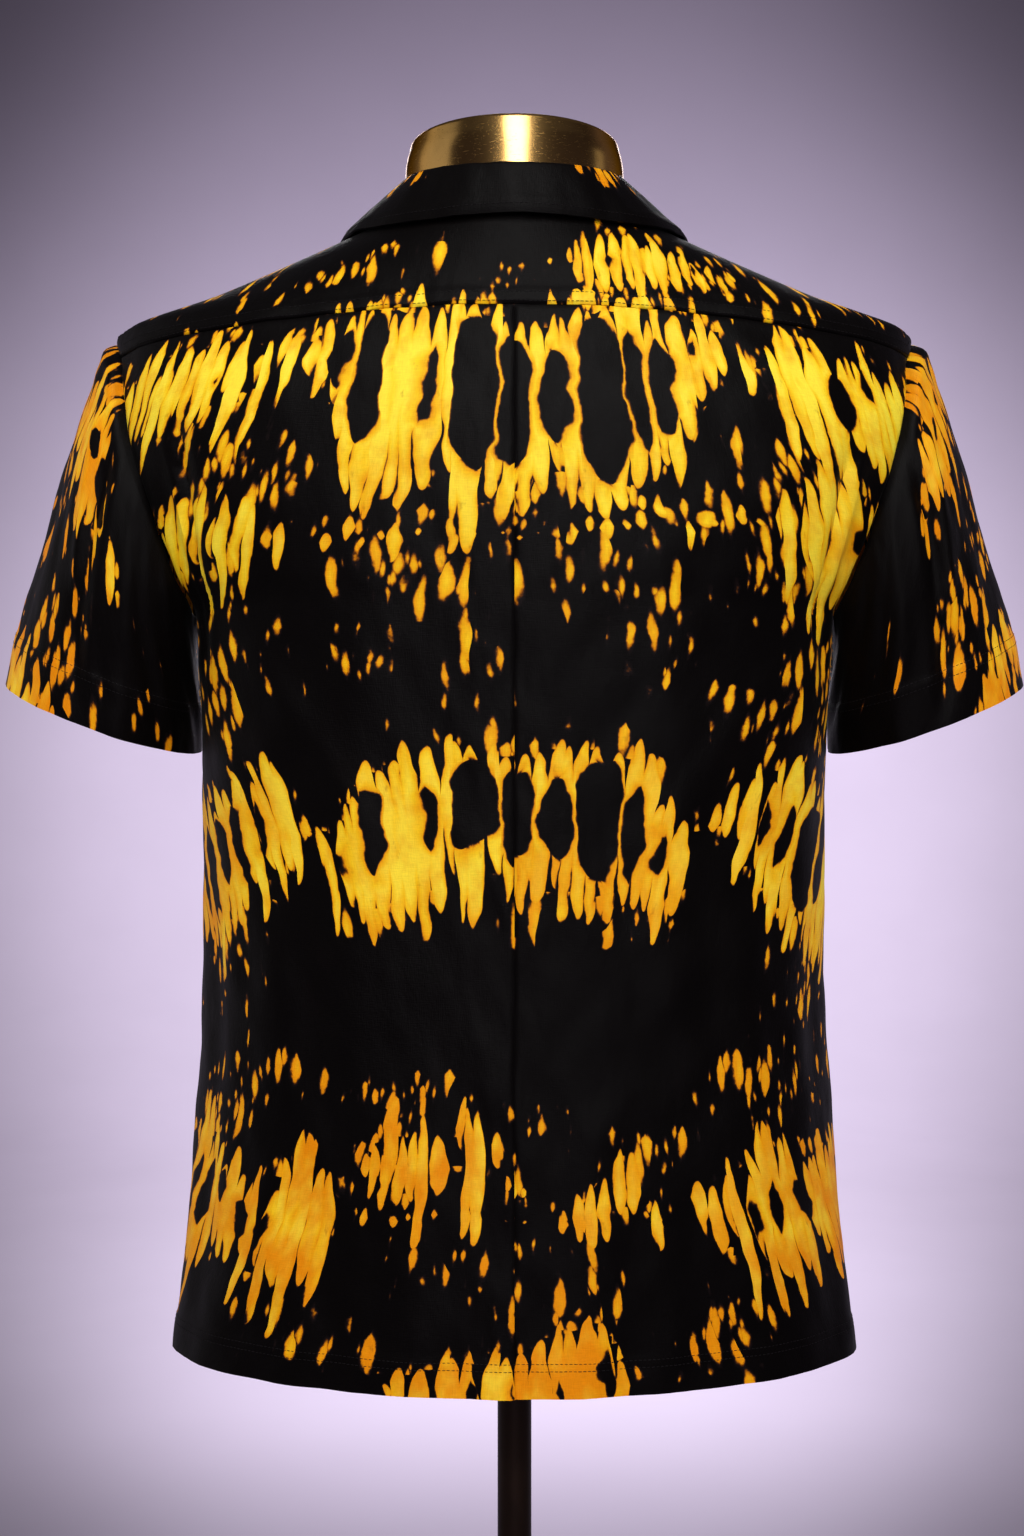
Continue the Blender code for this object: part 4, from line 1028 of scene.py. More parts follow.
def edge_line(name, distance, edge, lift):
    """Points along a line at a distance from one edge of a cloth's grid, just above the cloth."""
    points, normals = GRIDS[name]
    if edge in ("bottom", "top"):
        points, normals = np.swapaxes(points, 0, 1), np.swapaxes(normals, 0, 1)
    if edge in ("top", "last"):
        points, normals = points[:, ::-1], normals[:, ::-1]
    line = []
    for row, directions in zip(points, normals):
        lengths = run_lengths(row, 0)
        spot, way = (
            np.array([np.interp(distance, lengths, part) for part in grid.T]) for grid in (row, directions)
        )
        line.append(spot + unit(way) * lift)
    return np.array(line)


def fill(tree, entry, value):
    """Links a wire or a socket to a node's entry, or sets a constant there."""
    value = getattr(value, "socket", value)
    if isinstance(value, bpy.types.NodeSocket):
        tree.links.new(value, entry)
    else:
        entry.default_value = (*value, 1.0) if isinstance(value, tuple) and len(value) == 3 else value


def add_node(tree, kind, entries=None, **choices):
    """A node with its choices made, then its entries, by name or number, linked or set."""
    node = tree.nodes.new(kind)
    for choice, value in choices.items():
        setattr(node, choice, value)
    for place, value in (entries or {}).items():
        fill(tree, node.inputs[place], value)
    return node


def stitch_tree():
    """Lays thread stitches along every edge of a mesh, end to end with small gaps."""
    tree = bpy.data.node_groups.new("stitch_row", "GeometryNodeTree")
    face = tree.interface
    face.new_socket("Geometry", in_out="INPUT", socket_type="NodeSocketGeometry")
    for label, default in (("Pitch", 0.0029), ("Stitch Length", 0.0023), ("Thread Radius", 0.00022)):
        face.new_socket(label, in_out="INPUT", socket_type="NodeSocketFloat").default_value = default
    face.new_socket("Thread", in_out="INPUT", socket_type="NodeSocketMaterial")
    face.new_socket("Geometry", in_out="OUTPUT", socket_type="NodeSocketGeometry")
    given = tree.nodes.new("NodeGroupInput").outputs

    def step(kind, out, entries=None, **choices):
        return add_node(tree, kind, entries, **choices).outputs[out]

    path = step("GeometryNodeMeshToCurve", "Curve", {"Mesh": given["Geometry"]})
    spots = {"Curve": path, "Length": given["Pitch"]}
    even = step("GeometryNodeResampleCurve", "Curve", spots, mode="LENGTH")
    bead = step("GeometryNodeMeshUVSphere", "Mesh", {"Segments": 6, "Rings": 5, "Radius": 1.0})
    half = step("ShaderNodeMath", 0, {0: given["Stitch Length"], 1: 0.5}, operation="MULTIPLY")
    sizes = {"X": given["Thread Radius"], "Y": given["Thread Radius"], "Z": half}
    size = step("ShaderNodeCombineXYZ", "Vector", sizes)
    uneven = step("FunctionNodeRandomValue", 1, {2: 0.86, 3: 1.08, "Seed": 4}, data_type="FLOAT")
    scaled = step("ShaderNodeVectorMath", "Vector", {0: size, "Scale": uneven}, operation="SCALE")
    along = step("GeometryNodeInputTangent", "Tangent")
    turn = step("FunctionNodeAlignRotationToVector", "Rotation", {"Vector": along}, axis="Z")
    sowing = {"Points": even, "Instance": bead, "Rotation": turn, "Scale": scaled}
    sown = step("GeometryNodeInstanceOnPoints", "Instances", sowing)
    real = step("GeometryNodeRealizeInstances", "Geometry", {"Geometry": sown})
    dressed = step("GeometryNodeSetMaterial", "Geometry", {"Geometry": real, "Material": given["Thread"]})
    add_node(tree, "NodeGroupOutput", {"Geometry": dressed})
    return tree


def evaluated_mesh(thing):
    graph = bpy.context.evaluated_depsgraph_get()
    return bpy.data.meshes.new_from_object(thing.evaluated_get(graph), depsgraph=graph)


def sew(name, lines, pitch, length, radius):
    """A piece made of stitches along lines of points."""
    vertices, edges = [], []
    for line in lines:
        start = len(vertices)
        vertices += [tuple(point) for point in line]
        edges += [(start + k, start + k + 1) for k in range(len(line) - 1)]
    guide = bpy.data.meshes.new(name + "_path")
    guide.from_pydata(vertices, edges, [])
    path = put_in_scene(name + "_path", guide)
    tree = bpy.data.node_groups.get("stitch_row") or stitch_tree()
    modifier = path.modifiers.new("stitches", "NODES")
    modifier.node_group = tree
    values = {"Pitch": pitch, "Stitch Length": length, "Thread Radius": radius}
    values["Thread"] = bpy.data.materials["shirt_thread"]
    for item in tree.interface.items_tree:
        if item.in_out == "INPUT" and item.name in values:
            modifier[item.identifier] = values[item.name]
    mesh = evaluated_mesh(path)
    path.modifiers.remove(modifier)
    bpy.data.objects.remove(path, do_unlink=True)
    if not mesh.polygons:
        raise RuntimeError(f"{name}: no stitches were made")
    mesh.name = name
    mesh.shade_smooth()
    set_piece(put_in_scene(name, mesh))


def make_stitches(settings):
    """Twin rows at the hems and the yoke, single rows at the collar, the lapels and the front edge."""
    thread = settings.thread_radius
    backs_and_fronts = ("back_left", "back_right", "front_left", "front_right")

    def rows(names, distances, edge):
        return [edge_line(name, distance, edge, thread * 0.35) for name in names for distance in distances]

    front = rows(("front_left",), (FRONT_ROW, FACING_ROW), "last")
    front = [line[line[:, 2] < COLLAR_BREAK - short] for line, short in zip(front, (0.01, 0.03))]
    for name, lines in (
        ("stitches_hem", rows(backs_and_fronts, HEM_ROWS, "bottom")),
        ("stitches_yoke", rows(("yoke",), YOKE_ROWS, "first")),
        ("stitches_cuffs", rows(("sleeve_left", "sleeve_right"), CUFF_ROWS, "top")),
        ("stitches_collar", rows(("collar", "lapel_left", "lapel_right"), (COLLAR_ROW,), "last")),
        ("stitches_front", front),
    ):
        sew(name, lines, settings.stitch_pitch, settings.stitch_pitch * 0.8, thread)


def button_place(height, gap):
    normal = Vector(torso_normal(180.0, height))
    place = normal.to_track_quat("Z", "Y").to_matrix().to_4x4()
    place.translation = Vector(torso(180.0, height)) + normal * gap
    return place


def turned(bm, profile, segments):
    """Adds a closed turned solid to a bmesh: a profile of radius and height, spun round +Z."""
    rings = []
    for radius, height in profile:
        if radius == 0.0:
            rings.append([bm.verts.new((0.0, 0.0, height))])
            continue
        turns = [2 * math.pi * k / segments for k in range(segments)]
        rings.append([bm.verts.new((radius * math.cos(a), radius * math.sin(a), height)) for a in turns])
    for below, above in zip(rings, rings[1:]):
        for k in range(segments):
            n = (k + 1) % segments
            low, high = ([ring[i % len(ring)] for i in (k, n)] for ring in (below, above))
            bm.faces.new(list(dict.fromkeys(low + high[::-1])))
    bmesh.ops.recalc_face_normals(bm, faces=bm.faces)


def object_from(bm, name, material, sharp=35.0):
    mesh = bpy.data.meshes.new(name)
    bm.to_mesh(mesh)
    bm.free()
    mesh.materials.append(bpy.data.materials[material])
    smooth(mesh, sharp)
    return put_in_scene(name, mesh)


def solid(name, node, material, profile, segments, sharp=35.0):
    """A turned piece in the place of a CAD solid."""
    bm = bmesh.new()
    turned(bm, profile, segments)
    set_piece(object_from(bm, name, material, sharp), node)


BUTTON_PROFILE = (
    # radius, height above the cloth
    (0.0, 0.0), (0.0048, 0.0), (0.0054, 0.00015), (0.00572, 0.0006), (0.00575, 0.0012), (0.00568, 0.0019),
    (0.0054, 0.00238), (0.005, 0.0026), (0.0046, 0.00262), (0.0042, 0.00248), (0.0038, 0.00212),
    (0.0033, 0.00192), (0.0022, 0.00186), (0.0, 0.00186),
)
BUTTON_HOLE_REACH = 0.00135
BUTTON_HOLE_RADIUS = 0.00062
BUTTON_THREAD_SPREAD = 0.00022
BUTTON_THREAD_BASE = 0.0020
BUTTON_THREAD_ARCH = 0.0005
BUTTONHOLE_HALF_LENGTH = 0.0088
BUTTONHOLE_HALF_WIDTH = 0.00075
# Pitch, length and radius of the stitches that hold the buttons on and edge the buttonholes
BUTTON_STITCHES = (0.0005, 0.0011, 0.00020)
BUTTONHOLE_STITCHES = (0.00055, 0.0006, 0.00042)


def button_blank():
    """One button's mesh at the origin, with its four holes cut through."""
    bm = bmesh.new()
    turned(bm, BUTTON_PROFILE, 48)
    blank = object_from(bm, "button_blank", "button_plastic")
    cut = bmesh.new()
    drill = {"cap_ends": True, "segments": 14, "radius1": BUTTON_HOLE_RADIUS, "radius2": BUTTON_HOLE_RADIUS}
    for x in (-BUTTON_HOLE_REACH, BUTTON_HOLE_REACH):
        for y in (-BUTTON_HOLE_REACH, BUTTON_HOLE_REACH):
            bmesh.ops.create_cone(cut, depth=0.006, matrix=Matrix.Translation((x, y, 0.001)), **drill)
    cutter = object_from(cut, "button_cutter", "button_plastic")
    holes = blank.modifiers.new("holes", "BOOLEAN")
    holes.object = cutter
    holes.solver = "EXACT"
    mesh = evaluated_mesh(blank)
    for helper in (cutter, blank):
        bpy.data.objects.remove(helper, do_unlink=True)
    return mesh


def make_buttons():
    """Four-hole buttons with their thread, and the worked buttonholes under them."""
    blank = button_blank()
    reach = BUTTON_HOLE_REACH
    threads, slits = [], []
    for i, (height, gap) in enumerate(BUTTONS):
        place = button_place(height, gap)
        mesh = blank.copy()
        mesh.transform(place)
        smooth(mesh, 35.0)
        set_piece(put_in_scene(f"button_{i + 1}_detailed", mesh), f"button_{i + 1}")
        for x in (-reach, reach):
            for shift in (-BUTTON_THREAD_SPREAD, BUTTON_THREAD_SPREAD):
                arch = []
                for y in np.linspace(-reach, reach, 7):
                    rise = BUTTON_THREAD_ARCH * (1 - (y / reach) ** 2)
                    arch.append(place @ Vector((x + shift, y, BUTTON_THREAD_BASE + rise)))
                threads.append(arch)
        offset = Matrix.Translation(place.to_3x3() @ Vector((0, 0, 0.0003 - gap)))
        for side in (-1, 1):
            spots = np.linspace(-BUTTONHOLE_HALF_LENGTH, BUTTONHOLE_HALF_LENGTH, 12)
            edge = [(side * BUTTONHOLE_HALF_WIDTH, y, 0.0) for y in spots]
            slits.append([offset @ place @ Vector(p) for p in edge])
    bpy.data.meshes.remove(blank)
    sew("button_thread", threads, *BUTTON_STITCHES)
    sew("buttonholes", slits, *BUTTONHOLE_STITCHES)


def make_form():
    """The limbless torso and neck that carry the shirt."""
    own_heights = [row[0] for row in FORM_SECTIONS]
    heights = np.unique(np.concatenate([np.linspace(0.868, 1.5275, 96), own_heights]).round(5))
    heights = heights[(heights == 0.868) | (heights > 0.8695)]
    angles = np.arange(0.0, 360.0, 360.0 / 108)
    points = section_points(read_form, angles[None, :], heights[:, None])
    bm = bmesh.new()
    rings = [[bm.verts.new(point) for point in ring] for ring in points]
    for below, above in zip(rings, rings[1:]):
        for k in range(len(below)):
            n = (k + 1) % len(below)
            bm.faces.new((below[k], below[n], above[n], above[k]))
    for end in (0, -1):
        ring, middle = rings[end], bm.verts.new(points[end].mean(axis=0))
        for k in range(len(ring)):
            bm.faces.new((ring[k], ring[(k + 1) % len(ring)], middle))
    bmesh.ops.recalc_face_normals(bm, faces=bm.faces)
    set_piece(object_from(bm, "form_cover", "form_jersey"), "form_torso")


CAP_PROFILE = (
    # radius, height
    (0.0, 1.5278), (0.069, 1.5278), (0.0697, 1.5281), (0.0699, 1.529), (0.0701, 1.534), (0.0702, 1.54),
    (0.07045, 1.547), (0.0706, 1.553), (0.0703, 1.558), (0.0694, 1.563), (0.0682, 1.567), (0.0678, 1.5692),
    (0.0674, 1.5706), (0.0668, 1.5714), (0.0658, 1.5718), (0.056, 1.5717), (0.03, 1.5716), (0.0, 1.5716),
)
POLE_PROFILE = (
    (0.0, 0.0063), (0.011, 0.0063), (0.011, 0.86), (0.0112, 0.8622), (0.012, 0.8634), (0.014, 0.8637),
    (0.043, 0.8637), (0.0446, 0.8642), (0.045, 0.8655), (0.045, 0.8677), (0.0, 0.8677),
)
BASE_PROFILE = (
    (0.0, 0.0), (0.188, 0.0), (0.1894, 0.0003), (0.19, 0.001), (0.19, 0.0034), (0.1896, 0.0046),
    (0.1886, 0.0055), (0.187, 0.006), (0.029, 0.006), (0.0262, 0.0064), (0.0247, 0.0078), (0.024, 0.01),
    (0.0226, 0.031), (0.0221, 0.033), (0.021, 0.034), (0.0121, 0.034), (0.0113, 0.0336), (0.0113, 0.006),
    (0.0, 0.006),
)


def make_stand():
    """Neck cap, pole with its flange, and the round base with its hub."""
    solid("neck_cap_turned", "neck_cap", "cap_brass", CAP_PROFILE, 144, 50.0)
    solid("pole_turned", "pole", "stand_bronze", POLE_PROFILE, 64)
    solid("base_turned", "base", "stand_bronze", BASE_PROFILE, 144)


class Wire:
    """A number in a material's node tree. Sums with it add Math nodes."""

    def __init__(self, tree, socket):
        self.tree = tree
        self.socket = socket

    def join(self, operation, *others, clamp=False):
        entries = dict(enumerate((self, *others)))
        node = add_node(self.tree, "ShaderNodeMath", entries, operation=operation, use_clamp=clamp)
        return Wire(self.tree, node.outputs[0])

    def __add__(self, other):
        return self.join("ADD", other)

    def __sub__(self, other):
        return self.join("SUBTRACT", other)

    def __rsub__(self, other):
        return self.join("MULTIPLY_ADD", -1.0, other)

    def __mul__(self, other):
        return self.join("MULTIPLY", other)

    def __truediv__(self, other):
        return self.join("DIVIDE", other)

    def __pow__(self, other):
        return self.join("POWER", other)

    __radd__ = __add__
    __rmul__ = __mul__

    def least(self, other):
        return self.join("MINIMUM", other)

    def most(self, other):
        return self.join("MAXIMUM", other)

    def clamp(self):
        return self.join("ADD", 0.0, clamp=True)

    def softly(self, low, high):
        """0 below low, 1 above high, and smooth between."""
        entries = {"From Min": low, "From Max": high, "Value": self}
        node = add_node(self.tree, "ShaderNodeMapRange", entries, interpolation_type="SMOOTHSTEP")
        return Wire(self.tree, node.outputs["Result"])


class Paint:
    """Builds one material's nodes, with short words for the textures that it uses."""

    def __init__(self, name):
        self.material = bpy.data.materials.new(name)
        self.material.use_nodes = True
        self.tree = self.material.node_tree

    def add(self, kind, entries=None, **choices):
        return add_node(self.tree, kind, entries, **choices)

    def coordinates(self, kind="Object"):
        return self.add("ShaderNodeTexCoord").outputs[kind]

    def parts(self, vector):
        return [Wire(self.tree, out) for out in self.add("ShaderNodeSeparateXYZ", {0: vector}).outputs]

    def attribute(self, name):
        return self.parts(self.add("ShaderNodeAttribute", attribute_name=name).outputs["Vector"])

    def vector(self, x, y, z=0.0):
        return self.add("ShaderNodeCombineXYZ", {0: x, 1: y, 2: z}).outputs[0]

    def noise(self, vector, scale, detail=2.0, roughness=0.5, distortion=0.0):
        entries = {"Vector": vector, "Scale": scale, "Detail": detail}
        entries.update(Roughness=roughness, Distortion=distortion)
        return Wire(self.tree, self.add("ShaderNodeTexNoise", entries).outputs["Fac"])

    def cells(self, place, kind="F1", randomness=1.0, exponent=2.0):
        """Cells along a line, for a wire, or over a plane, for a vector: (distance, three random numbers)."""
        entries = {"Scale": 1.0, "Randomness": randomness}
        choices = {"feature": kind}
        if isinstance(place, Wire):
            entries["W"] = place
            choices["voronoi_dimensions"] = "1D"
        else:
            entries.update({"Vector": place, "Exponent": exponent})
            choices.update(voronoi_dimensions="2D", distance="MINKOWSKI")
        node = self.add("ShaderNodeTexVoronoi", entries, **choices)
        distance = Wire(self.tree, node.outputs["Distance"])
        if kind != "F1":
            return distance
        colours = self.add("ShaderNodeSeparateColor", {0: node.outputs["Color"]})
        return (distance, *(Wire(self.tree, out) for out in colours.outputs[:3]))

    def ramp(self, factor, stops):
        node = self.add("ShaderNodeValToRGB", {0: factor})
        elements = node.color_ramp.elements
        while len(elements) < len(stops):
            elements.new(0.5)
        for element, (place, colour) in zip(elements, stops):
            element.position = place
            element.color = (*colour, 1.0)
        return node.outputs[0]

    def mix(self, factor, one, other, blend="MIX"):
        entries = {0: factor, 6: one, 7: other}
        return self.add("ShaderNodeMix", entries, data_type="RGBA", blend_type=blend).outputs[2]

    def bump(self, height, distance, strength=1.0, under=None):
        entries = {"Strength": strength, "Distance": distance, "Height": height}
        if under is not None:
            entries["Normal"] = under
        return self.add("ShaderNodeBump", entries).outputs["Normal"]

    def finish(self, base_color, roughness, normal, **others):
        """Links or sets the shader's entries, each under its own name in small letters."""
        shader = self.tree.nodes["Principled BSDF"]
        for name, value in dict(base_color=base_color, roughness=roughness, normal=normal, **others).items():
            fill(self.tree, shader.inputs[name.replace("_", " ").title().replace("Ior", "IOR")], value)


FINGER_WIDTH = 0.0088
PANE_WIDTH = 0.0222


def banded(band, fringe, finger, border, breaks, pane, pane_edge):
    """How far inside one layer of dyed bands a place lies, in millimetres, with fringes and windows."""
    below_top, above_bottom, window = band
    from_middle, long_one, short_one, chance = finger
    # Each finger ends in a round tip, the long ones below the band and the short ones above it
    tip = from_middle * from_middle * 0.048
    up = above_bottom + fringe * (long_one * 1.45 - 0.15) - tip
    down = below_top + fringe * (short_one * 0.95 - 0.20) - tip
    # Dark slits run in between the fingers, each for a length of its own
    beside = border * FINGER_WIDTH * 1000.0 + breaks
    lower_slit = beside - 1.7 + up * (105.0 + chance * 110.0)
    upper_slit = beside - 1.4 + down * (190.0 + chance * 160.0)
    inside = (up * 1000.0).least(down * 1000.0).least(lower_slit).least(upper_slit)
    # Oval windows open where the band is deep enough, with golden bars of uneven width between them
    _, high, low, shy = pane
    deep = (below_top + 0.001 - high * 0.022).least(above_bottom - 0.001 - low * 0.030)
    arch = (deep * (48.0 + shy * 60.0)).clamp() ** 0.5
    separator = 0.5 + high * 2.6 + shy.softly(0.90, 0.94) * 9.0 + (1.0 - window) * 9.0
    opening = pane_edge * (PANE_WIDTH * 1000.0) - separator - (1.0 - arch) * 9.0
    return inside.least(opening.least(deep * 700.0) * -1.0)


def shirt_cloth_material(settings):
    """Cotton, resist dyed: golden drops, bands and fringes on near black, with a plain weave."""
    p = Paint("batik_cotton")
    s, t, _ = p.parts(p.coordinates("UV"))
    # The cloth's coordinates are swayed first, so that nothing in the pattern is quite straight
    sway = p.noise(p.vector(s, t * 0.5), 46.0, 2.0)
    sway_up = p.noise(p.vector(s + 7.0, t * 0.7), 40.0, 2.0)
    s1 = s + (sway - 0.5) * 0.0125
    t1 = t + (sway_up - 0.5) * 0.018
    ragged = (p.noise(p.vector(s, t * 0.7), 330.0, 2.0) - 0.5) * 1.7
    finger = p.cells(s1 / FINGER_WIDTH, randomness=0.95)
    border = p.cells(s1 / FINGER_WIDTH, "DISTANCE_TO_EDGE", 0.95)
    lean = s1 + (p.noise(p.vector(s * 0.8, t * 1.2, 21.0), 30.0, 2.0) - 0.5) * 0.014
    pane = p.cells(lean / PANE_WIDTH + 0.37, randomness=1.0)
    pane_edge = p.cells(lean / PANE_WIDTH + 0.37, "DISTANCE_TO_EDGE", 1.0)
    breaks = (p.noise(p.vector(s, t * 0.25, 11.0), 95.0, 1.0) - 0.46).most(0.0) * 34.0
    # The third value is partly the dye's redness and partly painted shade, greater low down
    drops, fringe, redder_dye_and_painted_shade = p.attribute("drops")
    lift = (sway_up - 0.5) * 0.020
    # The value says how far inside the gold a place lies, in millimetres
    value = None
    for layer in ("band_1", "band_2"):
        below_top, above_bottom, window = p.attribute(layer)
        band = (below_top - lift, above_bottom + lift, window)
        found = banded(band, fringe, finger, border, breaks, pane, pane_edge)
        value = found if value is None else value.most(found)
    for width, length, share, reach, offset in (
        (0.0112, 0.041, 1.35, 0.25, 0.0),
        (0.0088, 0.030, 1.10, 0.23, 4.3),
        (0.0060, 0.0175, 0.95, 0.21, 9.1),
    ):
        spot = p.cells(p.vector(s1 / width + offset, t1 / length), exponent=1.7)
        there = ((drops * share - spot[1]) * 3.0).clamp()
        radius = (spot[2] * 0.16 + reach) * there - (1.0 - there) * 0.35
        value = value.most((radius - spot[0]) * (width * 1000.0))
    value = value + ragged - 0.35
    clouds = p.noise(p.vector(s, t * 0.7, 3.0), 48.0, 3.0, 0.6)
    gold = p.ramp(
        (value + 1.0) / 9.0,
        (
            (0.0, tuple(settings.black)),
            (0.085, (0.0060, 0.0030, 0.0030)),
            (0.118, (0.110, 0.030, 0.002)),
            (0.160, (0.520, 0.165, 0.002)),
            (0.215, (0.860, 0.425, 0.004)),
            (0.480, (0.960, 0.640, 0.014)),
            (1.0, tuple(settings.gold)),
        ),
    )
    # Dye lies unevenly on the gold, with small brown stains; the gold turns redder and darker low down, partly
    # as dye and partly as painted shade
    on_gold = value.softly(0.0, 0.8)
    colour = p.mix(on_gold * clouds.softly(0.44, 0.72) * 0.55, gold, (0.80, 0.29, 0.002))
    warm = p.noise(p.vector(s, t * 0.6, 14.0), 30.0, 3.0, 0.6).softly(0.30, 0.66)
    # Painted shade and redder dye: low down and on the sleeves the gold is mixed towards a darker orange
    colour = p.mix(on_gold * redder_dye_and_painted_shade * (warm * 0.84 + 0.26), colour, (0.80, 0.255, 0.002))
    stains = p.noise(p.vector(s, t * 0.5, 8.0), 120.0, 3.0, 0.65)
    colour = p.mix(on_gold * stains.softly(0.63, 0.80) * 0.60, colour, (0.30, 0.085, 0.004))
    faded = p.noise(p.vector(s, t * 0.4, 5.0), 28.0, 3.0, 0.6)
    colour = p.mix((1.0 - on_gold) * faded.softly(0.54, 0.80) * 0.30, colour, (0.0030, 0.0016, 0.0016))
    weft = p.noise(p.vector(s * 0.12, t), 1500.0, 2.0)
    warp = p.noise(p.vector(s, t * 0.12), 1500.0, 2.0)
    weave = weft + warp
    colour = p.mix((weave - 0.6).clamp() * 0.25, colour, (0.10, 0.05, 0.01), "MULTIPLY")
    soft = p.noise(p.vector(s, t * 0.6, 2.0), 55.0, 3.0, 0.55)
    normal = p.bump(weave, 0.00022, 0.55, p.bump(soft, 0.0016, 0.35))
    rough = 0.60 - weave * 0.06
    shader = {"specular_ior_level": 0.082, "sheen_weight": settings.sheen, "sheen_roughness": 0.4}
    p.finish(colour, rough, normal, **shader)


def thread_material():
    p = Paint("shirt_thread")
    place = p.coordinates()
    twist = p.noise(place, 2600.0, 1.0)
    colour = p.ramp(twist, ((0.3, (0.002, 0.0015, 0.002)), (0.7, (0.007, 0.005, 0.006))))
    p.finish(colour, 0.7 - twist * 0.1, p.bump(twist, 0.0001, 0.6), specular_ior_level=0.2)


def button_material():
    p = Paint("button_plastic")
    place = p.coordinates()
    swirl = p.noise(place, 170.0, 4.0, 0.6, 1.6)
    tones = ((0.30, (0.006, 0.005, 0.005)), (0.62, (0.020, 0.015, 0.014)), (0.8, (0.055, 0.040, 0.034)))
    colour = p.ramp(swirl, tones)
    scuffs = p.noise(place, 900.0, 2.0)
    p.finish(colour, 0.14 + scuffs * 0.16, p.bump(scuffs, 0.00006, 0.4), coat_weight=0.35, coat_roughness=0.1)


def jersey_material():
    p = Paint("form_jersey")
    place = p.coordinates()
    x, y, z = p.parts(place)
    knit = p.noise(p.vector(x, y, z * 0.35), 1300.0, 2.0)
    slubs = p.noise(p.vector(x, y, z * 2.5), 260.0, 3.0)
    colour = p.ramp(knit * 0.6 + slubs * 0.4, ((0.30, (0.020, 0.017, 0.019)), (0.75, (0.060, 0.052, 0.056))))
    normal = p.bump(knit, 0.0003, 0.7, p.bump(slubs, 0.0004, 0.3))
    p.finish(colour, 0.9 - knit * 0.1, normal, sheen_weight=0.25, specular_ior_level=0.25)


def brass_material(settings):
    p = Paint("cap_brass")
    place = p.coordinates()
    x, y, z = p.parts(place)
    clouds = p.noise(place, 26.0, 4.0, 0.6)
    fine = p.noise(p.vector(x, y, z * 9.0), 240.0, 3.0, 0.6)
    slanted = p.vector(x * 0.25 + z * 0.8, y * 0.25 + z, z * 3.0)
    scratches = p.noise(slanted, 900.0, 2.0, 0.5, 0.6).softly(0.64, 0.74)
    specks = p.noise(place, 1100.0, 1.0).softly(0.70, 0.78)
    tone = tuple(settings.brass)
    dull = tuple(0.62 * c for c in tone)
    colour = p.mix(clouds.softly(0.40, 0.72) * 0.55, tone, dull)
    colour = p.mix(specks * 0.55, colour, (0.22, 0.12, 0.04))
    rough = 0.13 + clouds * 0.10 + scratches * 0.16 + specks * 0.20 + fine * 0.05
    height = scratches * -1.0 + specks * -0.5 + clouds * 0.3
    normal = p.bump(height, 0.00005, 0.5, p.bump(p.noise(place, 9.0, 1.0), 0.004, 0.25))
    p.finish(colour, rough, normal, metallic=1.0, specular_tint=(0.50, 0.33, 0.20, 1.0))


def bronze_material(settings):
    p = Paint("stand_bronze")
    place = p.coordinates()
    x, y, z = p.parts(place)
    wear = p.noise(p.vector(x, y, z * 0.4), 60.0, 4.0, 0.6)
    brushed = p.noise(p.vector(x, y, z * 0.02), 1600.0, 2.0)
    tone = tuple(settings.metal)
    colour = p.mix(wear.softly(0.45, 0.75) * 0.6, tone, tuple(1.7 * c for c in tone))
    rough = 0.26 + wear * 0.14 + brushed * 0.08
    p.finish(colour, rough, p.bump(brushed, 0.00004, 0.35), metallic=0.75)


def stage_material(settings):
    """A seamless pale sweep whose glow is painted light: it glows a little away from the stand, though it is
    no lamp, and dims towards the picture's corners as painted shade.
    """
    p = Paint("studio_sweep")
    place = p.coordinates()
    x, y, z = p.parts(place)
    # The glow is brightest round the camera's line of sight and falls off evenly towards the picture's corners
    reach = ((y - CAMERA_PLACE[1]) * (y - CAMERA_PLACE[1]) + 0.3) ** 0.5
    aside = x / reach
    above = (z - CAMERA_PLACE[2]) / reach
    ring = (aside * aside * 13.6 + above * above * 5.0) / 1.22
    rim = (ring * ring * ring + 1.0).join("POWER", -1.0) * 0.80 + 0.20
    height = above.softly(-0.02, 0.50)
    grain = p.noise(place, 2.2, 4.0, 0.6)
    away = (x * x + y * y).softly(0.6, 5.0)
    corner = aside * above * 10.25
    cubed = corner * corner * corner
    corners = (cubed * cubed + 1.0).join("POWER", -1.0) * 0.5 + 0.5
    beside = (aside * aside).softly(0.10, 0.45) * (y * -1.0).softly(0.4, 3.0)
    level = rim * corners + beside * 0.42
    glow = level * (1.0 - height * 0.79) * (1.0 - (aside * 0.35).least(0.12).most(-0.12))
    glow = glow * (0.94 + grain * 0.12) * away
    colour = p.mix(height, tuple(settings.wall), (0.70, 0.585, 0.83))
    # Painted shade: the sweep's own colour is darker where it glows less
    base = p.mix(level.least(1.0), (0.03, 0.026, 0.034), (0.36, 0.315, 0.40))
    # Painted light: the sweep's glow, in the colour above, stands in for a lit wall
    glowing = {"emission_strength": glow * settings.glow, "emission_color": colour}
    p.finish(base, 0.9, p.bump(grain, 0.002, 0.1), specular_ior_level=0.1, **glowing)


SWEEP_FLOOR = 4.6
SWEEP_COVE = 1.7
SWEEP_TOP = 7.0


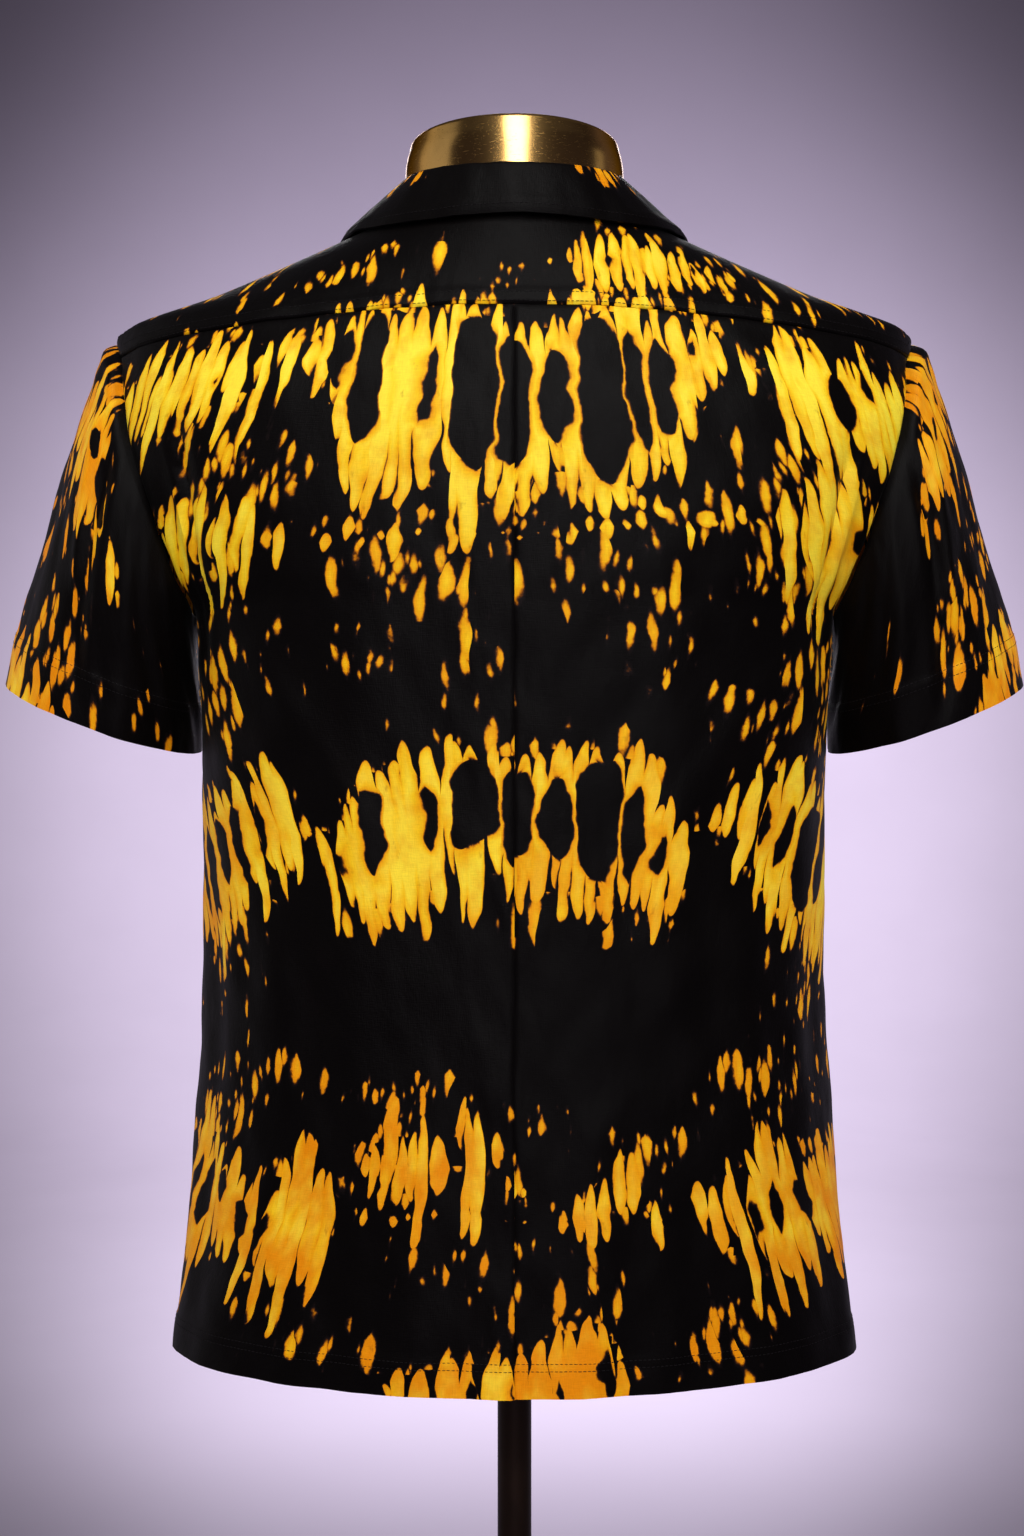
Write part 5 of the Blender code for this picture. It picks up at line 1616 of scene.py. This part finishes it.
def make_sweep():
    profile = [(0.0, 0.0), (0.6, 0.0), (1.4, 0.0), (2.6, 0.0), (3.8, 0.0)]
    for k in range(25):
        turn = 0.5 * math.pi * k / 24
        radius = SWEEP_FLOOR + SWEEP_COVE * math.sin(turn)
        profile.append((radius, SWEEP_COVE * (1 - math.cos(turn))))
    profile += [(profile[-1][0], 3.2), (profile[-1][0], 5.0), (profile[-1][0], SWEEP_TOP)]
    bm = bmesh.new()
    turned(bm, profile, 120)
    middle = [face for face in bm.faces if face.calc_center_median().length < 0.5]
    if middle and middle[0].normal.z < 0:
        bmesh.ops.reverse_faces(bm, faces=bm.faces)
    thing = object_from(bm, "studio_sweep", "studio_sweep", 60.0)


def add_light(name, place, target, size, power, colour, mirrored):
    data = bpy.data.lights.new(name, "AREA")
    data.shape = "RECTANGLE"
    data.size, data.size_y = size
    data.energy = power
    data.color = colour
    lamp = put_in_scene(name, data)
    lamp.visible_glossy = mirrored
    lamp.location = place
    lamp.rotation_euler = (Vector(target) - Vector(place)).to_track_quat("-Z", "Y").to_euler()


LIGHTS = (
    # name, place, target, size, power, colour, whether polished things mirror it
    ("key", (-0.13, 2.70, 3.05), (0.0, 0.0, 1.30), (1.05, 3.1), 90.0, (1.0, 0.98, 0.96), True),
    ("left", (2.7, 1.7, 1.9), (0.0, 0.0, 1.25), (0.7, 2.2), 21.0, (0.97, 0.96, 1.0), False),
    ("right", (-2.7, 1.7, 1.9), (0.0, 0.0, 1.25), (0.7, 2.2), 21.0, (0.97, 0.96, 1.0), False),
    ("left_panel", (2.9, -0.2, 1.9), (0.0, 0.0, 1.5), (2.4, 4.2), 15.0, (1.0, 0.97, 0.94), True),
    ("right_strip", (-2.7, -0.4, 1.7), (0.0, 0.0, 1.5), (0.6, 2.0), 1.4, (1.0, 0.97, 0.94), True),
    ("front", (0.0, -2.9, 2.4), (0.0, 0.0, 1.15), (1.6, 1.6), 50.0, (0.98, 0.97, 1.0), True),
    ("rim_left", (2.6, -1.6, 2.0), (0.0, 0.0, 1.2), (0.5, 1.8), 18.0, (0.96, 0.94, 1.0), False),
    ("rim_right", (-2.6, -1.6, 2.0), (0.0, 0.0, 1.2), (0.5, 1.8), 18.0, (0.96, 0.94, 1.0), False),
    ("low", (0.0, 2.4, 0.5), (0.0, 0.0, 0.9), (1.6, 0.6), 5.0, (1.0, 0.98, 0.97), False),
)


def make_stage(settings):
    make_sweep()
    for name, place, target, size, power, colour, mirrored in LIGHTS:
        add_light(name, place, target, size, power * settings.light_power, colour, mirrored)
    world = bpy.data.worlds.new("studio")
    world.use_nodes = True
    world.node_tree.nodes["Background"].inputs["Color"].default_value = (0.62, 0.58, 0.70, 1.0)
    world.node_tree.nodes["Background"].inputs["Strength"].default_value = 0.10
    bpy.context.scene.world = world
    bpy.context.scene.view_settings.view_transform = "Standard"


CAMERA_PLACE = (0.0, 1.17, 1.17)
CAMERA_FOCAL_PIXELS = 1800.0
PICTURE_HEIGHT = 1536.0
PICTURE_SHIFT = -2.5


def make_camera():
    """A level camera behind the shirt, at the height of its shoulder blades."""
    data = bpy.data.cameras.new("camera")
    data.sensor_width = 36.0
    data.lens = data.sensor_width * CAMERA_FOCAL_PIXELS / PICTURE_HEIGHT
    data.shift_x = PICTURE_SHIFT / PICTURE_HEIGHT
    camera = put_in_scene("camera", data)
    camera.location = CAMERA_PLACE
    camera.rotation_euler = (math.radians(90.0), 0.0, math.radians(180.0))
    bpy.context.scene.camera = camera


class ShirtSettings(bpy.types.PropertyGroup):
    """Sizes and finish of the shirt."""

    cloth_thickness: FloatProperty(
        name="Cloth thickness", description="How thick the cloth is", default=0.0012, min=0.001, unit="LENGTH"
    )
    fold_depth: FloatProperty(
        name="Fold depth", description="How strongly the cloth's folds show", default=1.0, min=0.0, max=1.5
    )
    stitch_pitch: FloatProperty(
        name="Stitch pitch", description="From stitch to stitch", default=0.0028, min=0.001, unit="LENGTH"
    )
    thread_radius: FloatProperty(
        name="Thread radius", description="Half the sewing thread's thickness", default=0.00022, unit="LENGTH"
    )
    sheen: FloatProperty(
        name="Sheen", description="Soft shine at grazing angles", default=0.012, min=0, max=1, subtype="FACTOR"
    )
    black: FloatVectorProperty(
        name="Black", description="The dark dye", default=(0.0008, 0.0003, 0.0003), subtype="COLOR"
    )
    gold: FloatVectorProperty(
        name="Gold", description="The golden dye at its clearest", default=(0.99, 0.79, 0.048), subtype="COLOR"
    )


class StandSettings(bpy.types.PropertyGroup):
    """Finish of the dress form's metal parts."""

    brass: FloatVectorProperty(
        name="Brass", description="Colour of the neck cap", default=(0.60, 0.36, 0.115), subtype="COLOR"
    )
    metal: FloatVectorProperty(
        name="Metal", description="Colour of pole and base", default=(0.022, 0.012, 0.008), subtype="COLOR"
    )


class StageSettings(bpy.types.PropertyGroup):
    """Tone of the studio."""

    wall: FloatVectorProperty(
        name="Wall", description="Colour that the sweep glows in", default=(0.71, 0.608, 0.80), subtype="COLOR"
    )
    glow: FloatProperty(name="Glow", description="How brightly the sweep glows", default=0.93, min=0.0)
    light_power: FloatProperty(
        name="Light power", description="Share of the lamps' set power", default=1.08, min=0.0
    )


class SHIRT_OT_materials(bpy.types.Operator):
    """Make the finishes of cloth, thread, buttons, form and metal"""

    bl_idname = "shirt.materials"
    bl_label = "Make finishes"

    def execute(self, context):
        scene = context.scene
        shirt_cloth_material(scene.shirt_settings)
        for maker in (thread_material, button_material, jersey_material):
            maker()
        brass_material(scene.stand_settings)
        bronze_material(scene.stand_settings)
        stage_material(scene.stage_settings)
        return {"FINISHED"}


class SHIRT_OT_backs(bpy.types.Operator):
    """Make the two back panels and the yoke"""

    bl_idname = "shirt.backs"
    bl_label = "Make back and yoke"

    def execute(self, context):
        make_backs(context.scene.shirt_settings)
        make_yoke(context.scene.shirt_settings)
        return {"FINISHED"}


class SHIRT_OT_fronts(bpy.types.Operator):
    """Make the two fronts and their lapels"""

    bl_idname = "shirt.fronts"
    bl_label = "Make fronts and lapels"

    def execute(self, context):
        make_fronts(context.scene.shirt_settings)
        make_lapels(context.scene.shirt_settings)
        return {"FINISHED"}


class SHIRT_OT_sleeves(bpy.types.Operator):
    """Make the two short sleeves"""

    bl_idname = "shirt.sleeves"
    bl_label = "Make sleeves"

    def execute(self, context):
        make_sleeves(context.scene.shirt_settings)
        return {"FINISHED"}


class SHIRT_OT_collar(bpy.types.Operator):
    """Make the collar"""

    bl_idname = "shirt.collar"
    bl_label = "Make collar"

    def execute(self, context):
        make_collar(context.scene.shirt_settings)
        return {"FINISHED"}


class SHIRT_OT_stitches(bpy.types.Operator):
    """Sew the seams and hems"""

    bl_idname = "shirt.stitches"
    bl_label = "Make stitching"

    def execute(self, context):
        make_stitches(context.scene.shirt_settings)
        return {"FINISHED"}


class SHIRT_OT_buttons(bpy.types.Operator):
    """Make the buttons, their thread and the buttonholes"""

    bl_idname = "shirt.buttons"
    bl_label = "Make buttons"

    def execute(self, context):
        make_buttons()
        return {"FINISHED"}


class SHIRT_OT_form(bpy.types.Operator):
    """Make the torso form"""

    bl_idname = "shirt.form"
    bl_label = "Make dress form"

    def execute(self, context):
        make_form()
        return {"FINISHED"}


class SHIRT_OT_stand(bpy.types.Operator):
    """Make the neck cap, the pole and the base"""

    bl_idname = "shirt.stand"
    bl_label = "Make cap, pole and base"

    def execute(self, context):
        make_stand()
        return {"FINISHED"}


class SHIRT_OT_stage(bpy.types.Operator):
    """Make the studio: floor, lights and camera"""

    bl_idname = "shirt.stage"
    bl_label = "Make studio"

    def execute(self, context):
        make_stage(context.scene.stage_settings)
        make_camera()
        return {"FINISHED"}


OPERATORS = (
    SHIRT_OT_stage,
    SHIRT_OT_backs,
    SHIRT_OT_fronts,
    SHIRT_OT_sleeves,
    SHIRT_OT_collar,
    SHIRT_OT_stitches,
    SHIRT_OT_buttons,
    SHIRT_OT_form,
    SHIRT_OT_stand,
)


class SHIRT_PT_panel(bpy.types.Panel):
    """Lists the shirt's settings and makers"""

    bl_idname = "SHIRT_PT_panel"
    bl_label = "Batik shirt"
    bl_space_type = "VIEW_3D"
    bl_region_type = "UI"
    bl_category = "Shirt"

    def draw(self, context):
        scene = context.scene
        for group in (scene.shirt_settings, scene.stand_settings, scene.stage_settings):
            for label in group.__annotations__:
                self.layout.prop(group, label)
        for operator in (SHIRT_OT_materials, *OPERATORS):
            self.layout.operator(operator.bl_idname)


CLASSES = (ShirtSettings, StandSettings, StageSettings, SHIRT_OT_materials, *OPERATORS, SHIRT_PT_panel)


def register():
    for kind in CLASSES:
        bpy.utils.register_class(kind)
    bpy.types.Scene.shirt_settings = PointerProperty(type=ShirtSettings)
    bpy.types.Scene.stand_settings = PointerProperty(type=StandSettings)
    bpy.types.Scene.stage_settings = PointerProperty(type=StageSettings)


def unregister():
    del bpy.types.Scene.shirt_settings
    del bpy.types.Scene.stand_settings
    del bpy.types.Scene.stage_settings
    for kind in reversed(CLASSES):
        bpy.utils.unregister_class(kind)


def main():
    register()
    bpy.ops.shirt.materials()
    for operator in OPERATORS:
        getattr(bpy.ops.shirt, operator.bl_idname.split(".")[1])()


if __name__ == "__main__":
    main()
